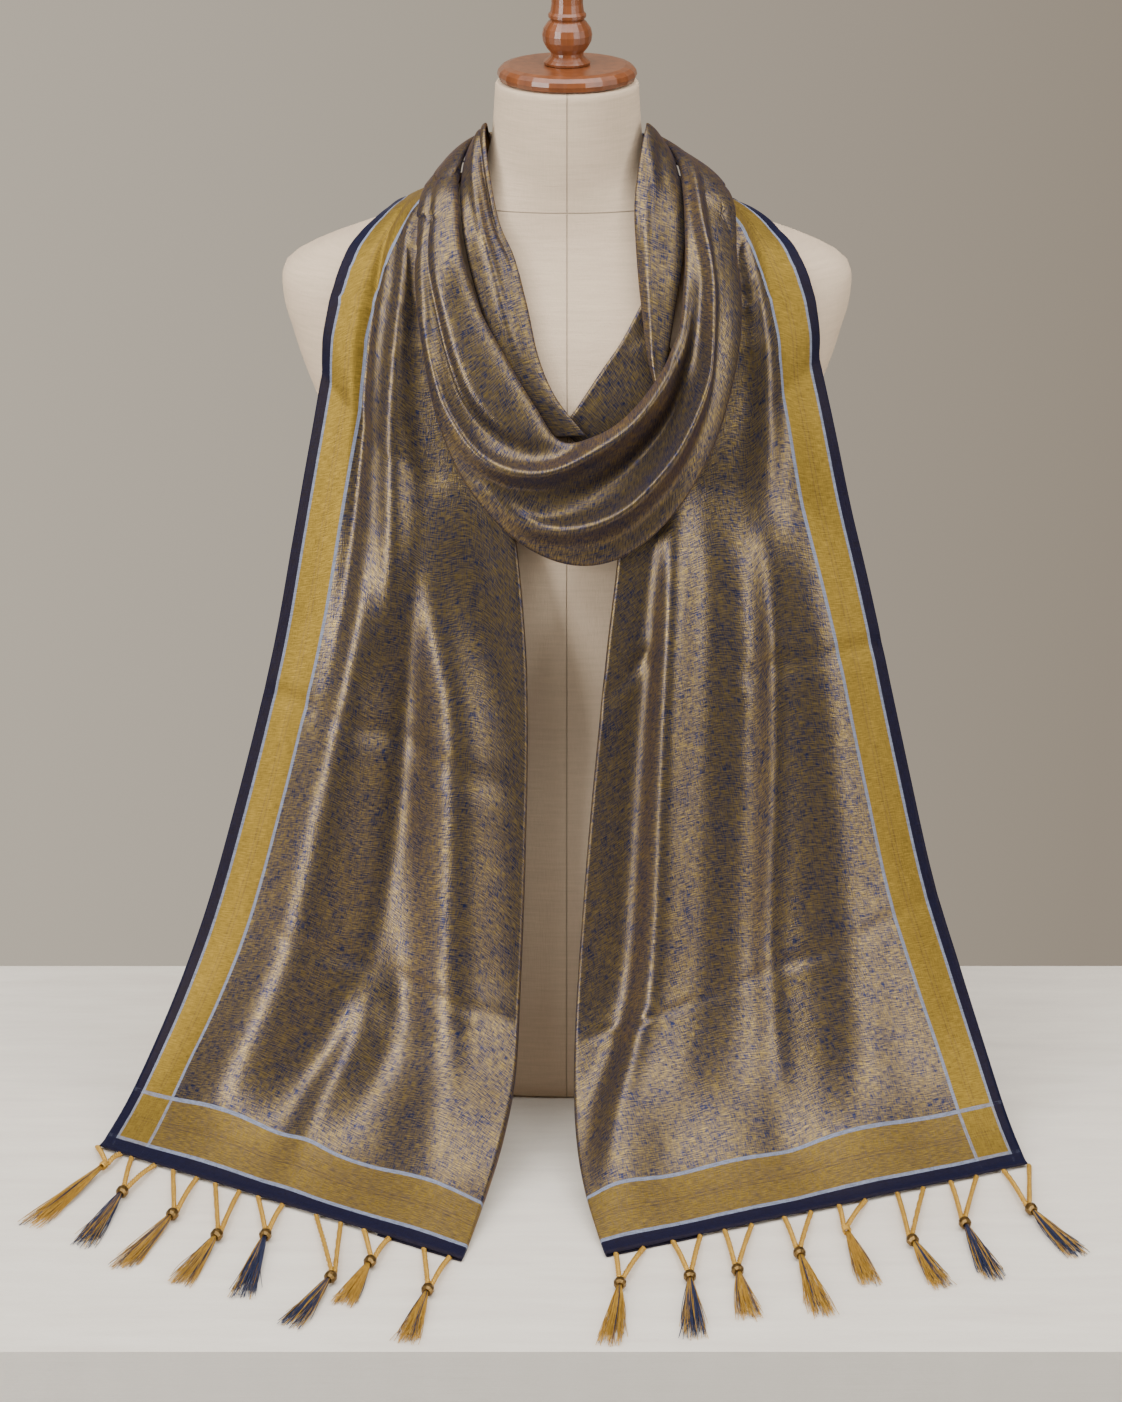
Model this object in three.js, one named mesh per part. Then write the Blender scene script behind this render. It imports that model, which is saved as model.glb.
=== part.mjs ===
// A dupatta stole wound once round the neck of a limbless dress form.
// The stole is one long woven cloth. Its middle hangs on the chest as a draped loop, both halves pass over
// the shoulders and cross behind the neck, and the two ends hang down the front, each folded in half
// lengthwise, and run out on the table, where their cut edges are finished with knotted, beaded tassels.
// Units are millimetres. +Z is up, the wearer's front faces -Y, and the origin is the centre of the
// form's flat base, on the surface it stands on.
import * as THREE from "three";

// ---------------------------------------------------------------- driving dimensions
const CLOTH = 1.2; // wall of the cloth
const SEAM = 0.4; // gap between neighbouring pieces
const FORM_HEIGHT = 752; // base to the top of the covered neck
const NECK_RADIUS = 50; // at the top of the neck
const CAP_RADIUS = 49;
const CAP_THICKNESS = 11;
const BEAD_RADIUS = 4.6;
const BEAD_HOLE = 2.2;
const CORD_RADIUS = 1.5; // a tassel's cords where they pass through the bead
const FLOOR_GAP = 0.5; // air under a cloth that lies on the table

// Horizontal sections of the covered form: superellipses of the given half width and half depth.
const FORM_SECTIONS = [
  { z: 0, halfWidth: 152, halfDepth: 101, centreY: 0, power: 2.3 },
  { z: 14, halfWidth: 158, halfDepth: 105, centreY: 0, power: 2.3 },
  { z: 90, halfWidth: 166, halfDepth: 110, centreY: 0, power: 2.3 },
  { z: 190, halfWidth: 156, halfDepth: 104, centreY: 0, power: 2.3 },
  { z: 300, halfWidth: 128, halfDepth: 90, centreY: 0, power: 2.3 },
  { z: 400, halfWidth: 141, halfDepth: 97, centreY: -2, power: 2.3 },
  { z: 480, halfWidth: 162, halfDepth: 104, centreY: -3, power: 2.4 },
  { z: 535, halfWidth: 182, halfDepth: 99, centreY: -2, power: 2.5 },
  { z: 580, halfWidth: 197, halfDepth: 87, centreY: 1, power: 2.6 },
  { z: 606, halfWidth: 203, halfDepth: 76, centreY: 3, power: 2.6 },
  { z: 622, halfWidth: 200, halfDepth: 68, centreY: 4, power: 2.5 },
  { z: 634, halfWidth: 180, halfDepth: 63, centreY: 5, power: 2.4 },
  { z: 648, halfWidth: 142, halfDepth: 58, centreY: 6, power: 2.3 },
  { z: 662, halfWidth: 105, halfDepth: 55, centreY: 6, power: 2.2 },
  { z: 677, halfWidth: 74, halfDepth: 53, centreY: 5, power: 2.1 },
  { z: 692, halfWidth: 59, halfDepth: 52, centreY: 3, power: 2.0 },
  { z: 712, halfWidth: 53, halfDepth: 51, centreY: 1, power: 2.0 },
  { z: FORM_HEIGHT, halfWidth: NECK_RADIUS, halfDepth: NECK_RADIUS, centreY: 0, power: 2.0 },
];

// ---------------------------------------------------------------- smooth curves through table rows
const catmull = (a, b, c, d, t) =>
  0.5 * (2 * b + (c - a) * t + (2 * a - 5 * b + 4 * c - d) * t * t + (3 * b - a - 3 * c + d) * t * t * t);

// The value of a column at a place counted in rows, on a smooth curve through all of them.
function smooth(values, place) {
  const last = values.length - 1;
  const row = Math.min(Math.max(Math.floor(place), 0), last - 1);
  const before = row > 0 ? values[row - 1] : 2 * values[0] - values[1];
  const after = row + 2 <= last ? values[row + 2] : 2 * values[last] - values[last - 1];
  return catmull(before, values[row], values[row + 1], after, place - row);
}

const smoothPoint = (points, place) =>
  new THREE.Vector3(...[0, 1, 2].map((axis) => smooth(points.map((p) => p[axis]), place)));

// ---------------------------------------------------------------- the dress form
const SECTION_COLUMNS = ["halfWidth", "halfDepth", "centreY", "power"];

function formSection(z) {
  const height = Math.min(Math.max(z, 0), FORM_HEIGHT);
  let row = FORM_SECTIONS.findIndex((s, i) => i > 0 && s.z >= height) - 1;
  row = Math.max(row, 0);
  const share = (height - FORM_SECTIONS[row].z) / (FORM_SECTIONS[row + 1].z - FORM_SECTIONS[row].z);
  const section = {};
  for (const name of SECTION_COLUMNS) section[name] = smooth(FORM_SECTIONS.map((s) => s[name]), row + share);
  return section;
}

// 1 on the form's surface, less inside it and more outside.
function formShare(x, y, z) {
  const s = formSection(z);
  return (
    Math.abs(x / s.halfWidth) ** s.power + Math.abs((y - s.centreY) / s.halfDepth) ** s.power
  ) ** (1 / s.power);
}

// Moves a point out, square to the form, until it is `clear` from it, and up until it is `above` the table.
function settled(point, clear, above) {
  const p = point.clone();
  const step = 0.5;
  for (let pass = 0; pass < 4; pass++) {
    const share = formShare(p.x, p.y, p.z);
    const slope = new THREE.Vector3(
      formShare(p.x + step, p.y, p.z) - share,
      formShare(p.x, p.y + step, p.z) - share,
      formShare(p.x, p.y, p.z + step) - share,
    ).divideScalar(step);
    const distance = (share - 1) / slope.length();
    if (distance >= clear) break;
    p.addScaledVector(slope.normalize(), clear - distance);
  }
  p.z = Math.max(p.z, above);
  return p;
}

// ---------------------------------------------------------------- closed solids from rings and grids
// Rings of points, each closed, joined in order and capped at both ends.
function ringSolid(rings) {
  const count = rings[0].length;
  const positions = rings.flat().flatMap((p) => [p.x, p.y, p.z]);
  const index = [];
  for (let r = 0; r + 1 < rings.length; r++)
    for (let i = 0; i < count; i++) {
      const a = r * count + i;
      const b = r * count + ((i + 1) % count);
      index.push(a, b, a + count, b, b + count, a + count);
    }
  for (const [ring, start] of [[rings[0], 0], [rings.at(-1), (rings.length - 1) * count]]) {
    const centre = positions.length / 3;
    const middle = ring.reduce((sum, p) => sum.add(p), new THREE.Vector3()).divideScalar(count);
    positions.push(middle.x, middle.y, middle.z);
    for (let i = 0; i < count; i++) {
      const a = start + i;
      const b = start + ((i + 1) % count);
      if (start === 0) index.push(b, a, centre);
      else index.push(a, b, centre);
    }
  }
  return indexed(positions, index);
}

function indexed(positions, index) {
  const geometry = new THREE.BufferGeometry();
  geometry.setAttribute("position", new THREE.Float32BufferAttribute(positions, 3));
  geometry.setIndex(index);
  geometry.computeVertexNormals();
  return geometry;
}

// The unit normal of a grid of points at each point, on the given side.
function gridNormals(grid, side) {
  const rows = grid.length;
  const columns = grid[0].length;
  return grid.map((row, r) =>
    row.map((_, c) => {
      const along = grid[Math.min(r + 1, rows - 1)][c].clone().sub(grid[Math.max(r - 1, 0)][c]);
      const across = row[Math.min(c + 1, columns - 1)].clone().sub(row[Math.max(c - 1, 0)]);
      return along.cross(across).normalize().multiplyScalar(side);
    }),
  );
}

// A wall of even thickness either side of a grid of points.
function sheetSolid(grid, side, thickness) {
  const normals = gridNormals(grid, side);
  const rows = grid.length;
  const columns = grid[0].length;
  const positions = [];
  for (const face of [0.5, -0.5])
    grid.forEach((row, r) =>
      row.forEach((p, c) => {
        const q = p.clone().addScaledVector(normals[r][c], face * thickness);
        positions.push(q.x, q.y, q.z);
      }),
    );
  const back = rows * columns;
  const index = [];
  const quad = (a, b, c, d) => {
    if (side > 0) index.push(a, b, c, a, c, d);
    else index.push(a, c, b, a, d, c);
  };
  for (let r = 0; r + 1 < rows; r++)
    for (let c = 0; c + 1 < columns; c++) {
      const a = r * columns + c;
      quad(a, a + columns, a + columns + 1, a + 1);
      quad(back + a, back + a + 1, back + a + columns + 1, back + a + columns);
    }
  for (let r = 0; r + 1 < rows; r++) {
    const left = r * columns;
    const right = left + columns - 1;
    quad(left, back + left, back + left + columns, left + columns);
    quad(right, right + columns, back + right + columns, back + right);
  }
  for (let c = 0; c + 1 < columns; c++) {
    const top = c;
    const foot = (rows - 1) * columns + c;
    quad(top, top + 1, back + top + 1, back + top);
    quad(foot, back + foot, back + foot + 1, foot + 1);
  }
  return indexed(positions, index);
}

// ---------------------------------------------------------------- stretches of cloth
// A fold's run gives where it lies: the section it passes, its place across (0 first edge, 1 second edge)
// and its height there. It starts and ends at height 0.
function foldAt(fold, place) {
  const run = fold.run;
  if (place <= run[0].section || place >= run.at(-1).section) return null;
  const row = run.findIndex((k) => k.section > place) - 1;
  const share = (place - run[row].section) / (run[row + 1].section - run[row].section);
  return {
    across: smooth(run.map((k) => k.across), row + share),
    height: Math.max(0, smooth(run.map((k) => k.height), row + share)) * (fold.sign ?? 1),
  };
}

function foldOffset(folds, place, across) {
  let height = 0;
  let lean = 0;
  for (const fold of folds) {
    const here = foldAt(fold, place);
    if (!here) continue;
    const bell = Math.exp(-(((across - here.across) / fold.width) ** 2));
    height += here.height * bell;
    lean += here.height * bell * (fold.lean ?? 0);
  }
  return { height, lean };
}

// Samples across a roll: an arch whose two edges turn under by the tuck angle.
function rollProfile(steps, tuck) {
  const low = Math.sin(tuck);
  return Array.from({ length: steps + 1 }, (_, i) => {
    const angle = -tuck + ((Math.PI + 2 * tuck) * i) / steps;
    return { across: (1 - Math.cos(angle)) / 2, crown: (Math.sin(angle) + low) / (1 + low), beyond: 0, drop: 0 };
  });
}

// Samples across an end: the face from its free edge to the lengthwise fold, round the fold, and back
// underneath for a share of the width.
function foldedProfile(faceSteps, turnSteps, underSteps, underShare) {
  const samples = [];
  for (let i = 0; i <= faceSteps; i++) {
    const across = i / faceSteps;
    samples.push({ across, crown: Math.sin(Math.PI * across), beyond: 0, drop: 0 });
  }
  for (let i = 1; i <= turnSteps; i++) {
    const angle = (Math.PI * i) / turnSteps;
    samples.push({ across: 1, crown: 0, beyond: Math.sin(angle) / 2, drop: (1 - Math.cos(angle)) / 2 });
  }
  for (let i = 1; i <= underSteps; i++)
    samples.push({ across: 1 - (underShare * i) / underSteps, crown: 0, beyond: 0, drop: 1 });
  return samples;
}

// The middle surface of one stretch, as a grid: rows along it and columns across it.
function stretchGrid({ sections, folds, profile, alongSteps, side, clear }) {
  const first = sections.map((s) => s.first);
  const second = sections.map((s) => s.second);
  const crowns = sections.map((s) => s.crown ?? 0);
  const gaps = sections.map((s) => s.gap ?? 0);
  const base = (place, across) => {
    const gap = smooth(gaps, place);
    const flat = smoothPoint(first, place).lerp(smoothPoint(second, place), across);
    return settled(flat, clear + gap, FLOOR_GAP + CLOTH / 2 + gap);
  };
  const grid = [];
  for (let i = 0; i <= alongSteps; i++) {
    const place = ((sections.length - 1) * i) / alongSteps;
    const gap = smooth(gaps, place);
    const crown = smooth(crowns, place);
    grid.push(
      profile.map((s) => {
        const across = base(place, s.across + 0.03).sub(base(place, s.across - 0.03));
        const along = base(place + 0.15, s.across).sub(base(place - 0.15, s.across));
        const out = along.cross(across).normalize().multiplyScalar(side);
        const fold = foldOffset(folds, place, s.across);
        const shown = 1 - s.drop;
        const p = base(place, s.across);
        p.addScaledVector(out, s.crown * crown + fold.height * shown - s.drop * gap);
        p.addScaledVector(across.normalize(), s.beyond * gap + fold.lean * shown);
        p.z = Math.max(p.z, FLOOR_GAP + CLOTH / 2);
        return p;
      }),
    );
  }
  return grid;
}

const stretch = (name, make) => cloth(name, sheetSolid(stretchGrid(make), make.side, CLOTH));

// ---------------------------------------------------------------- materials
const finish = (colour, roughness, metalness = 0) =>
  new THREE.MeshStandardMaterial({ color: colour, roughness, metalness });

function named(name, geometry, colour, roughness, metalness) {
  const mesh = new THREE.Mesh(geometry, finish(colour, roughness, metalness));
  mesh.name = name;
  return mesh;
}

const cloth = (name, geometry) => named(name, geometry, 0x5f5640, 0.45);
const yarn = (name, geometry, colour) => named(name, geometry, colour, 0.6);

// ---------------------------------------------------------------- the form, its cap and its finial
function dressForm() {
  const around = 36;
  const heights = [0, 3, 14, 50, 90, 190, 245, 300, 350, 400, 440, 480, 508, 535, 558, 580, 594, 606, 615];
  heights.push(622, 629, 636, 648, 655, 662, 669, 677, 684, 692, 702, 714, FORM_HEIGHT - 2, FORM_HEIGHT);
  const rings = heights.map((z) => {
    const s = formSection(z);
    const inset = z === 0 ? 2.5 : z === 3 ? 0.6 : z === FORM_HEIGHT ? 1.5 : 0;
    return Array.from({ length: around }, (_, i) => {
      const angle = (2 * Math.PI * i) / around;
      const round = (v, half) => Math.sign(v) * Math.abs(v) ** (2 / s.power) * (half - inset);
      return new THREE.Vector3(
        round(Math.cos(angle), s.halfWidth),
        s.centreY + round(Math.sin(angle), s.halfDepth),
        z,
      );
    });
  });
  return named("dress_form", ringSolid(rings), 0xdccfbb, 0.9);
}

// A turned solid from its outline of [radius, height] rows, standing at the given height.
function turned(name, outline, base, colour) {
  const points = outline.map(([radius, height]) => new THREE.Vector2(radius, height));
  const geometry = new THREE.LatheGeometry(points, 24).rotateX(Math.PI / 2).translate(0, 0, base);
  return named(name, geometry, colour, 0.35);
}

const CAP_BASE = FORM_HEIGHT + SEAM;
const CAP_OUTLINE = [
  [0, 0],
  [CAP_RADIUS - 4, 0],
  [CAP_RADIUS - 1.2, 1.4],
  [CAP_RADIUS, 4.5],
  [CAP_RADIUS - 0.8, 7.6],
  [CAP_RADIUS - 3.6, 10],
  [CAP_RADIUS - 8, CAP_THICKNESS],
  [0, CAP_THICKNESS],
];
const FINIAL_OUTLINE = [
  [0, 0],
  [16, 0],
  [16.4, 1.6],
  [14, 3.6],
  [11.5, 6],
  [11.5, 8],
  [14.5, 11.5],
  [17, 16],
  [17.6, 20.5],
  [16.6, 25],
  [13.8, 29],
  [11.6, 31],
  [13.2, 32.6],
  [13.4, 34.6],
  [11.8, 36.4],
  [11, 42],
  [11.4, 52],
  [13, 62],
  [15.4, 70],
  [16, 76],
  [14.6, 82],
  [10.6, 87],
  [5.4, 90],
  [0, 91],
];

// ---------------------------------------------------------------- the stole's stretches
// Every row is a section across the cloth, from its first edge to its second. `crown` is how far the
// section arches off what lies under it, and `gap` how far a folded end's face stands over its under layer.
const LEFT_END_SECTIONS = [
  { first: [-110, 50, 653], second: [-66, 54, 668], crown: 1, gap: 2.6 },
  { first: [-127, 4, 660], second: [-80, 0, 680], crown: 1, gap: 2.6 },
  { first: [-147, -25, 644], second: [-84, -42, 664], crown: 1, gap: 2.6 },
  { first: [-158, -42, 612], second: [-80, -72, 636], crown: 1, gap: 2.6 },
  { first: [-170, -58, 568], second: [-72, -90, 596], crown: 1, gap: 2.6 },
  { first: [-182, -72, 508], second: [-58, -106, 545], crown: 1, gap: 3 },
  { first: [-195, -84, 441], second: [-42, -116, 480], crown: 1.5, gap: 3.4 },
  { first: [-207, -91, 378], second: [-34, -122, 400], crown: 5, gap: 5 },
  { first: [-221, -96, 318], second: [-31, -130, 320], crown: 6, gap: 5 },
  { first: [-242, -101, 240], second: [-33, -141, 212], crown: 7, gap: 5 },
  { first: [-264, -105, 165], second: [-37, -158, 108], crown: 7, gap: 5 },
  { first: [-286, -110, 104], second: [-40, -184, 64], crown: 6, gap: 5 },
  { first: [-309, -117, 50], second: [-47, -220, 36], crown: 5, gap: 4 },
  { first: [-327, -138, 17], second: [-58, -265, 16], crown: 3, gap: 3 },
  { first: [-343, -178, 1], second: [-74, -334, 1], crown: 0, gap: 2 },
];
const LEFT_END_FOLDS = [
  {
    name: "outer ridge",
    width: 0.11,
    run: [
      { section: 4, across: 0.4, height: 0 },
      { section: 6, across: 0.4, height: 5 },
      { section: 8, across: 0.33, height: 8 },
      { section: 10, across: 0.31, height: 10 },
      { section: 12, across: 0.28, height: 9 },
      { section: 14, across: 0.3, height: 0 },
    ],
  },
  {
    name: "inner ridge",
    width: 0.12,
    run: [
      { section: 5.6, across: 0.62, height: 0 },
      { section: 6.6, across: 0.64, height: 4 },
      { section: 8, across: 0.76, height: 8 },
      { section: 10, across: 0.82, height: 10 },
      { section: 12, across: 0.86, height: 9 },
      { section: 14, across: 0.88, height: 0 },
    ],
  },
  {
    name: "low middle ridge",
    width: 0.08,
    run: [
      { section: 9, across: 0.6, height: 0 },
      { section: 11, across: 0.56, height: 4 },
      { section: 12.5, across: 0.53, height: 4 },
      { section: 14, across: 0.52, height: 0 },
    ],
  },
];
const RIGHT_END_SECTIONS = [
  { first: [110, 50, 653], second: [66, 54, 668], crown: 1, gap: 2.6 },
  { first: [128, 2, 662], second: [81, 0, 680], crown: 1, gap: 2.6 },
  { first: [149, -16, 650], second: [86, -42, 666], crown: 1, gap: 2.6 },
  { first: [160, -32, 628], second: [88, -70, 640], crown: 1, gap: 2.6 },
  { first: [173, -50, 585], second: [82, -90, 600], crown: 1, gap: 2.6 },
  { first: [188, -70, 524], second: [66, -106, 548], crown: 1, gap: 2.6 },
  { first: [201, -80, 466], second: [44, -116, 480], crown: 1, gap: 3.4 },
  { first: [214, -88, 415], second: [36, -124, 415], crown: 4, gap: 5 },
  { first: [227, -94, 360], second: [29, -130, 350], crown: 5, gap: 5 },
  { first: [248, -101, 270], second: [18, -138, 225], crown: 6, gap: 5 },
  { first: [268, -108, 188], second: [10, -152, 110], crown: 6, gap: 5 },
  { first: [289, -118, 122], second: [8, -176, 66], crown: 6, gap: 5 },
  { first: [309, -132, 62], second: [9, -214, 36], crown: 5, gap: 4 },
  { first: [324, -162, 20], second: [15, -262, 16], crown: 3, gap: 3 },
  { first: [335, -204, 1], second: [28, -328, 1], crown: 0, gap: 2 },
];
const RIGHT_END_FOLDS = [
  {
    name: "pleat over the inner strip",
    width: 0.075,
    lean: 0.5,
    run: [
      { section: 5.8, across: 0.78, height: 0 },
      { section: 6.8, across: 0.76, height: 8 },
      { section: 8, across: 0.75, height: 12 },
      { section: 10, across: 0.76, height: 13 },
      { section: 12, across: 0.86, height: 12 },
      { section: 14, across: 0.95, height: 0 },
    ],
  },
  {
    name: "broad middle roll",
    width: 0.12,
    run: [
      { section: 5.8, across: 0.56, height: 0 },
      { section: 6.8, across: 0.55, height: 5 },
      { section: 8, across: 0.55, height: 8 },
      { section: 10, across: 0.6, height: 8 },
      { section: 12, across: 0.68, height: 6 },
      { section: 14, across: 0.72, height: 0 },
    ],
  },
  {
    name: "soft outer ridge",
    width: 0.12,
    run: [
      { section: 6, across: 0.24, height: 0 },
      { section: 8, across: 0.24, height: 5 },
      { section: 10, across: 0.28, height: 8 },
      { section: 12, across: 0.34, height: 7 },
      { section: 14, across: 0.4, height: 0 },
    ],
  },
];
const FRONT_LOOP_SECTIONS = [
  { first: [-74, 48, 682], second: [-59, 42, 704], crown: 5, gap: 2 },
  { first: [-89, 10, 680], second: [-69, 6, 702], crown: 7, gap: 3 },
  { first: [-101, -40, 664], second: [-74, -24, 686], crown: 11, gap: 5 },
  { first: [-103, -70, 630], second: [-72, -72, 650], crown: 13, gap: 4 },
  { first: [-100, -90, 590], second: [-60, -88, 612], crown: 14, gap: 2 },
  { first: [-90, -108, 540], second: [-42, -100, 580], crown: 14, gap: 2 },
  { first: [-70, -116, 495], second: [-22, -110, 549], crown: 15, gap: 2 },
  { first: [-36, -120, 456], second: [-4, -116, 526], crown: 14, gap: 2 },
  { first: [4, -122, 438], second: [20, -118, 531], crown: 14, gap: 2 },
  { first: [42, -124, 446], second: [46, -114, 550], crown: 14, gap: 2 },
  { first: [76, -121, 478], second: [68, -108, 580], crown: 14, gap: 2 },
  { first: [103, -108, 528], second: [76, -104, 604], crown: 14, gap: 2 },
  { first: [117, -92, 584], second: [79, -88, 636], crown: 13, gap: 3 },
  { first: [117, -62, 636], second: [80, -62, 662], crown: 12, gap: 4 },
  { first: [111, -20, 672], second: [78, -22, 690], crown: 11, gap: 5 },
  { first: [91, 12, 681], second: [70, 8, 702], crown: 7, gap: 3 },
  { first: [74, 48, 682], second: [59, 42, 704], crown: 5, gap: 2 },
];
const FRONT_LOOP_FOLDS = [
  {
    name: "ridge that turns up into the upper lip",
    width: 0.12,
    lean: 0.2,
    run: [
      { section: 3.5, across: 0.06, height: 0 },
      { section: 5, across: 0.12, height: 7 },
      { section: 6, across: 0.3, height: 13 },
      { section: 7, across: 0.7, height: 18 },
      { section: 8, across: 0.9, height: 15 },
      { section: 9, across: 0.92, height: 13 },
      { section: 10, across: 0.92, height: 7 },
      { section: 11, across: 0.92, height: 0 },
    ],
  },
  {
    name: "lip of the lower roll",
    width: 0.12,
    lean: 0.25,
    run: [
      { section: 6, across: 0.14, height: 0 },
      { section: 7, across: 0.2, height: 6 },
      { section: 8, across: 0.3, height: 14 },
      { section: 9, across: 0.33, height: 18 },
      { section: 10, across: 0.36, height: 19 },
      { section: 11, across: 0.5, height: 17 },
      { section: 12, across: 0.67, height: 12 },
      { section: 13, across: 0.8, height: 7 },
      { section: 14.5, across: 0.85, height: 0 },
    ],
  },
  {
    name: "pocket between the lips",
    width: 0.15,
    sign: -1,
    run: [
      { section: 6.5, across: 0.42, height: 0 },
      { section: 8, across: 0.58, height: 8 },
      { section: 9, across: 0.62, height: 12 },
      { section: 10, across: 0.64, height: 11 },
      { section: 11, across: 0.76, height: 6 },
      { section: 12, across: 0.86, height: 0 },
    ],
  },
  {
    name: "trough of the left band",
    width: 0.13,
    sign: -1,
    run: [
      { section: 1, across: 0.45, height: 0 },
      { section: 3, across: 0.36, height: 3 },
      { section: 5, across: 0.36, height: 7 },
      { section: 6, across: 0.56, height: 6 },
      { section: 7, across: 0.92, height: 0 },
    ],
  },
];
const INNER_LEFT_SECTIONS = [
  { first: [-57, 40, 710], second: [-52, 32, 731], crown: 2 },
  { first: [-67, 8, 701], second: [-56, -4, 720], crown: 3 },
  { first: [-73, -34, 680], second: [-55, -30, 690], crown: 4 },
  { first: [-72, -58, 656], second: [-48, -49, 664], crown: 5 },
  { first: [-66, -72, 630], second: [-37, -61, 640], crown: 5 },
  { first: [-56, -86, 600], second: [-28, -77, 610], crown: 5 },
  { first: [-42, -98, 572], second: [-20, -93, 578], crown: 4 },
  { first: [-28, -104, 552], second: [-8, -102, 552], crown: 3, gap: 0.4 },
  { first: [-8, -110, 526], second: [13, -108, 526], crown: 1, gap: 1.2 },
];
const INNER_LEFT_FOLDS = [
  {
    name: "fine roll beside the neck",
    width: 0.16,
    run: [
      { section: 1, across: 0.72, height: 0 },
      { section: 2.5, across: 0.72, height: 2 },
      { section: 4, across: 0.5, height: 2 },
      { section: 6, across: 0.4, height: 0 },
    ],
  },
];
const INNER_RIGHT_SECTIONS = [
  { first: [57, 40, 710], second: [52, 32, 731], crown: 2, gap: 0 },
  { first: [69, 8, 700], second: [55, -6, 720], crown: 3, gap: 0 },
  { first: [78, -24, 682], second: [51, -30, 704], crown: 5, gap: 1 },
  { first: [82, -48, 660], second: [47, -46, 678], crown: 5, gap: 3 },
  { first: [80, -64, 638], second: [48, -57, 650], crown: 5, gap: 3 },
  { first: [76, -78, 616], second: [50, -70, 626], crown: 5, gap: 3 },
  { first: [72, -90, 594], second: [53, -83, 602], crown: 4, gap: 2 },
  { first: [68, -100, 572], second: [56, -94, 580], crown: 3, gap: 1 },
  { first: [66, -106, 554], second: [62, -101, 560], crown: 2, gap: 0 },
];
const INNER_RIGHT_FOLDS = [
  {
    name: "crest beside the throat",
    width: 0.2,
    run: [
      { section: 1, across: 0.75, height: 0 },
      { section: 3, across: 0.75, height: 3 },
      { section: 6, across: 0.7, height: 2 },
      { section: 8, across: 0.6, height: 0 },
    ],
  },
];
const NECK_RIGHT_SECTIONS = [
  { first: [52, -72, 612], second: [66, -80, 592] },
  { first: [38, -84, 588], second: [54, -90, 566] },
  { first: [22, -92, 566], second: [38, -97, 545] },
  { first: [6, -99, 543], second: [22, -100, 528] },
  { first: [-4, -101, 530], second: [8, -102, 518] },
];
const NAPE_OVER_SECTIONS = [
  { first: [-68, 56, 680], second: [-54, 48, 702], crown: 5, gap: 6 },
  { first: [-42, 70, 672], second: [-31, 62, 702], crown: 6, gap: 8 },
  { first: [4, 78, 660], second: [3, 70, 696], crown: 6, gap: 8 },
  { first: [48, 75, 648], second: [34, 69, 684], crown: 6, gap: 8 },
  { first: [84, 67, 642], second: [54, 64, 672], crown: 3, gap: 3 },
  { first: [106, 58, 646], second: [64, 61, 664], crown: 1, gap: 0 },
];
const NAPE_UNDER_SECTIONS = [
  { first: [68, 56, 680], second: [54, 48, 702], crown: 4, gap: 5 },
  { first: [42, 62, 672], second: [31, 56, 702], crown: 3, gap: 2 },
  { first: [-4, 66, 660], second: [-3, 58, 696], crown: 3, gap: 0 },
  { first: [-48, 66, 648], second: [-34, 60, 684], crown: 3, gap: 0 },
  { first: [-84, 63, 642], second: [-54, 61, 672], crown: 2, gap: 0 },
  { first: [-106, 58, 646], second: [-64, 61, 664], crown: 1, gap: 0 },
];

const END_PROFILE = foldedProfile(13, 3, 3, 0.22);
const roll = (steps) => rollProfile(steps, 0.6);
const flat = (steps) => Array.from({ length: steps + 1 }, (_, i) => ({
  across: i / steps,
  crown: Math.sin((Math.PI * i) / steps),
  beyond: 0,
  drop: 0,
}));

const STRETCHES = {
  left_end: {
    sections: LEFT_END_SECTIONS, folds: LEFT_END_FOLDS, profile: END_PROFILE, alongSteps: 26, side: 1, clear: 2.9,
  },
  right_end: {
    sections: RIGHT_END_SECTIONS, folds: RIGHT_END_FOLDS, profile: END_PROFILE, alongSteps: 26, side: -1, clear: 2.9,
  },
  front_loop: {
    sections: FRONT_LOOP_SECTIONS, folds: FRONT_LOOP_FOLDS, profile: roll(15), alongSteps: 32, side: 1, clear: 8.4,
  },
  inner_fold_left: {
    sections: INNER_LEFT_SECTIONS, folds: INNER_LEFT_FOLDS, profile: roll(8), alongSteps: 14, side: 1, clear: 3.6,
  },
  inner_fold_right: {
    sections: INNER_RIGHT_SECTIONS, folds: INNER_RIGHT_FOLDS, profile: roll(8), alongSteps: 14, side: -1, clear: 3.6,
  },
  neck_fold_right: {
    sections: NECK_RIGHT_SECTIONS, folds: [], profile: flat(4), alongSteps: 6, side: 1, clear: 1.2,
  },
  nape_over: {
    sections: NAPE_OVER_SECTIONS, folds: [], profile: roll(8), alongSteps: 12, side: -1, clear: 5,
  },
  nape_under: {
    sections: NAPE_UNDER_SECTIONS, folds: [], profile: roll(8), alongSteps: 12, side: 1, clear: 4,
  },
};

// ---------------------------------------------------------------- tassels and their beads
const GOLD = 0xb0872c;
const NAVY = 0x1c2342;
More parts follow.
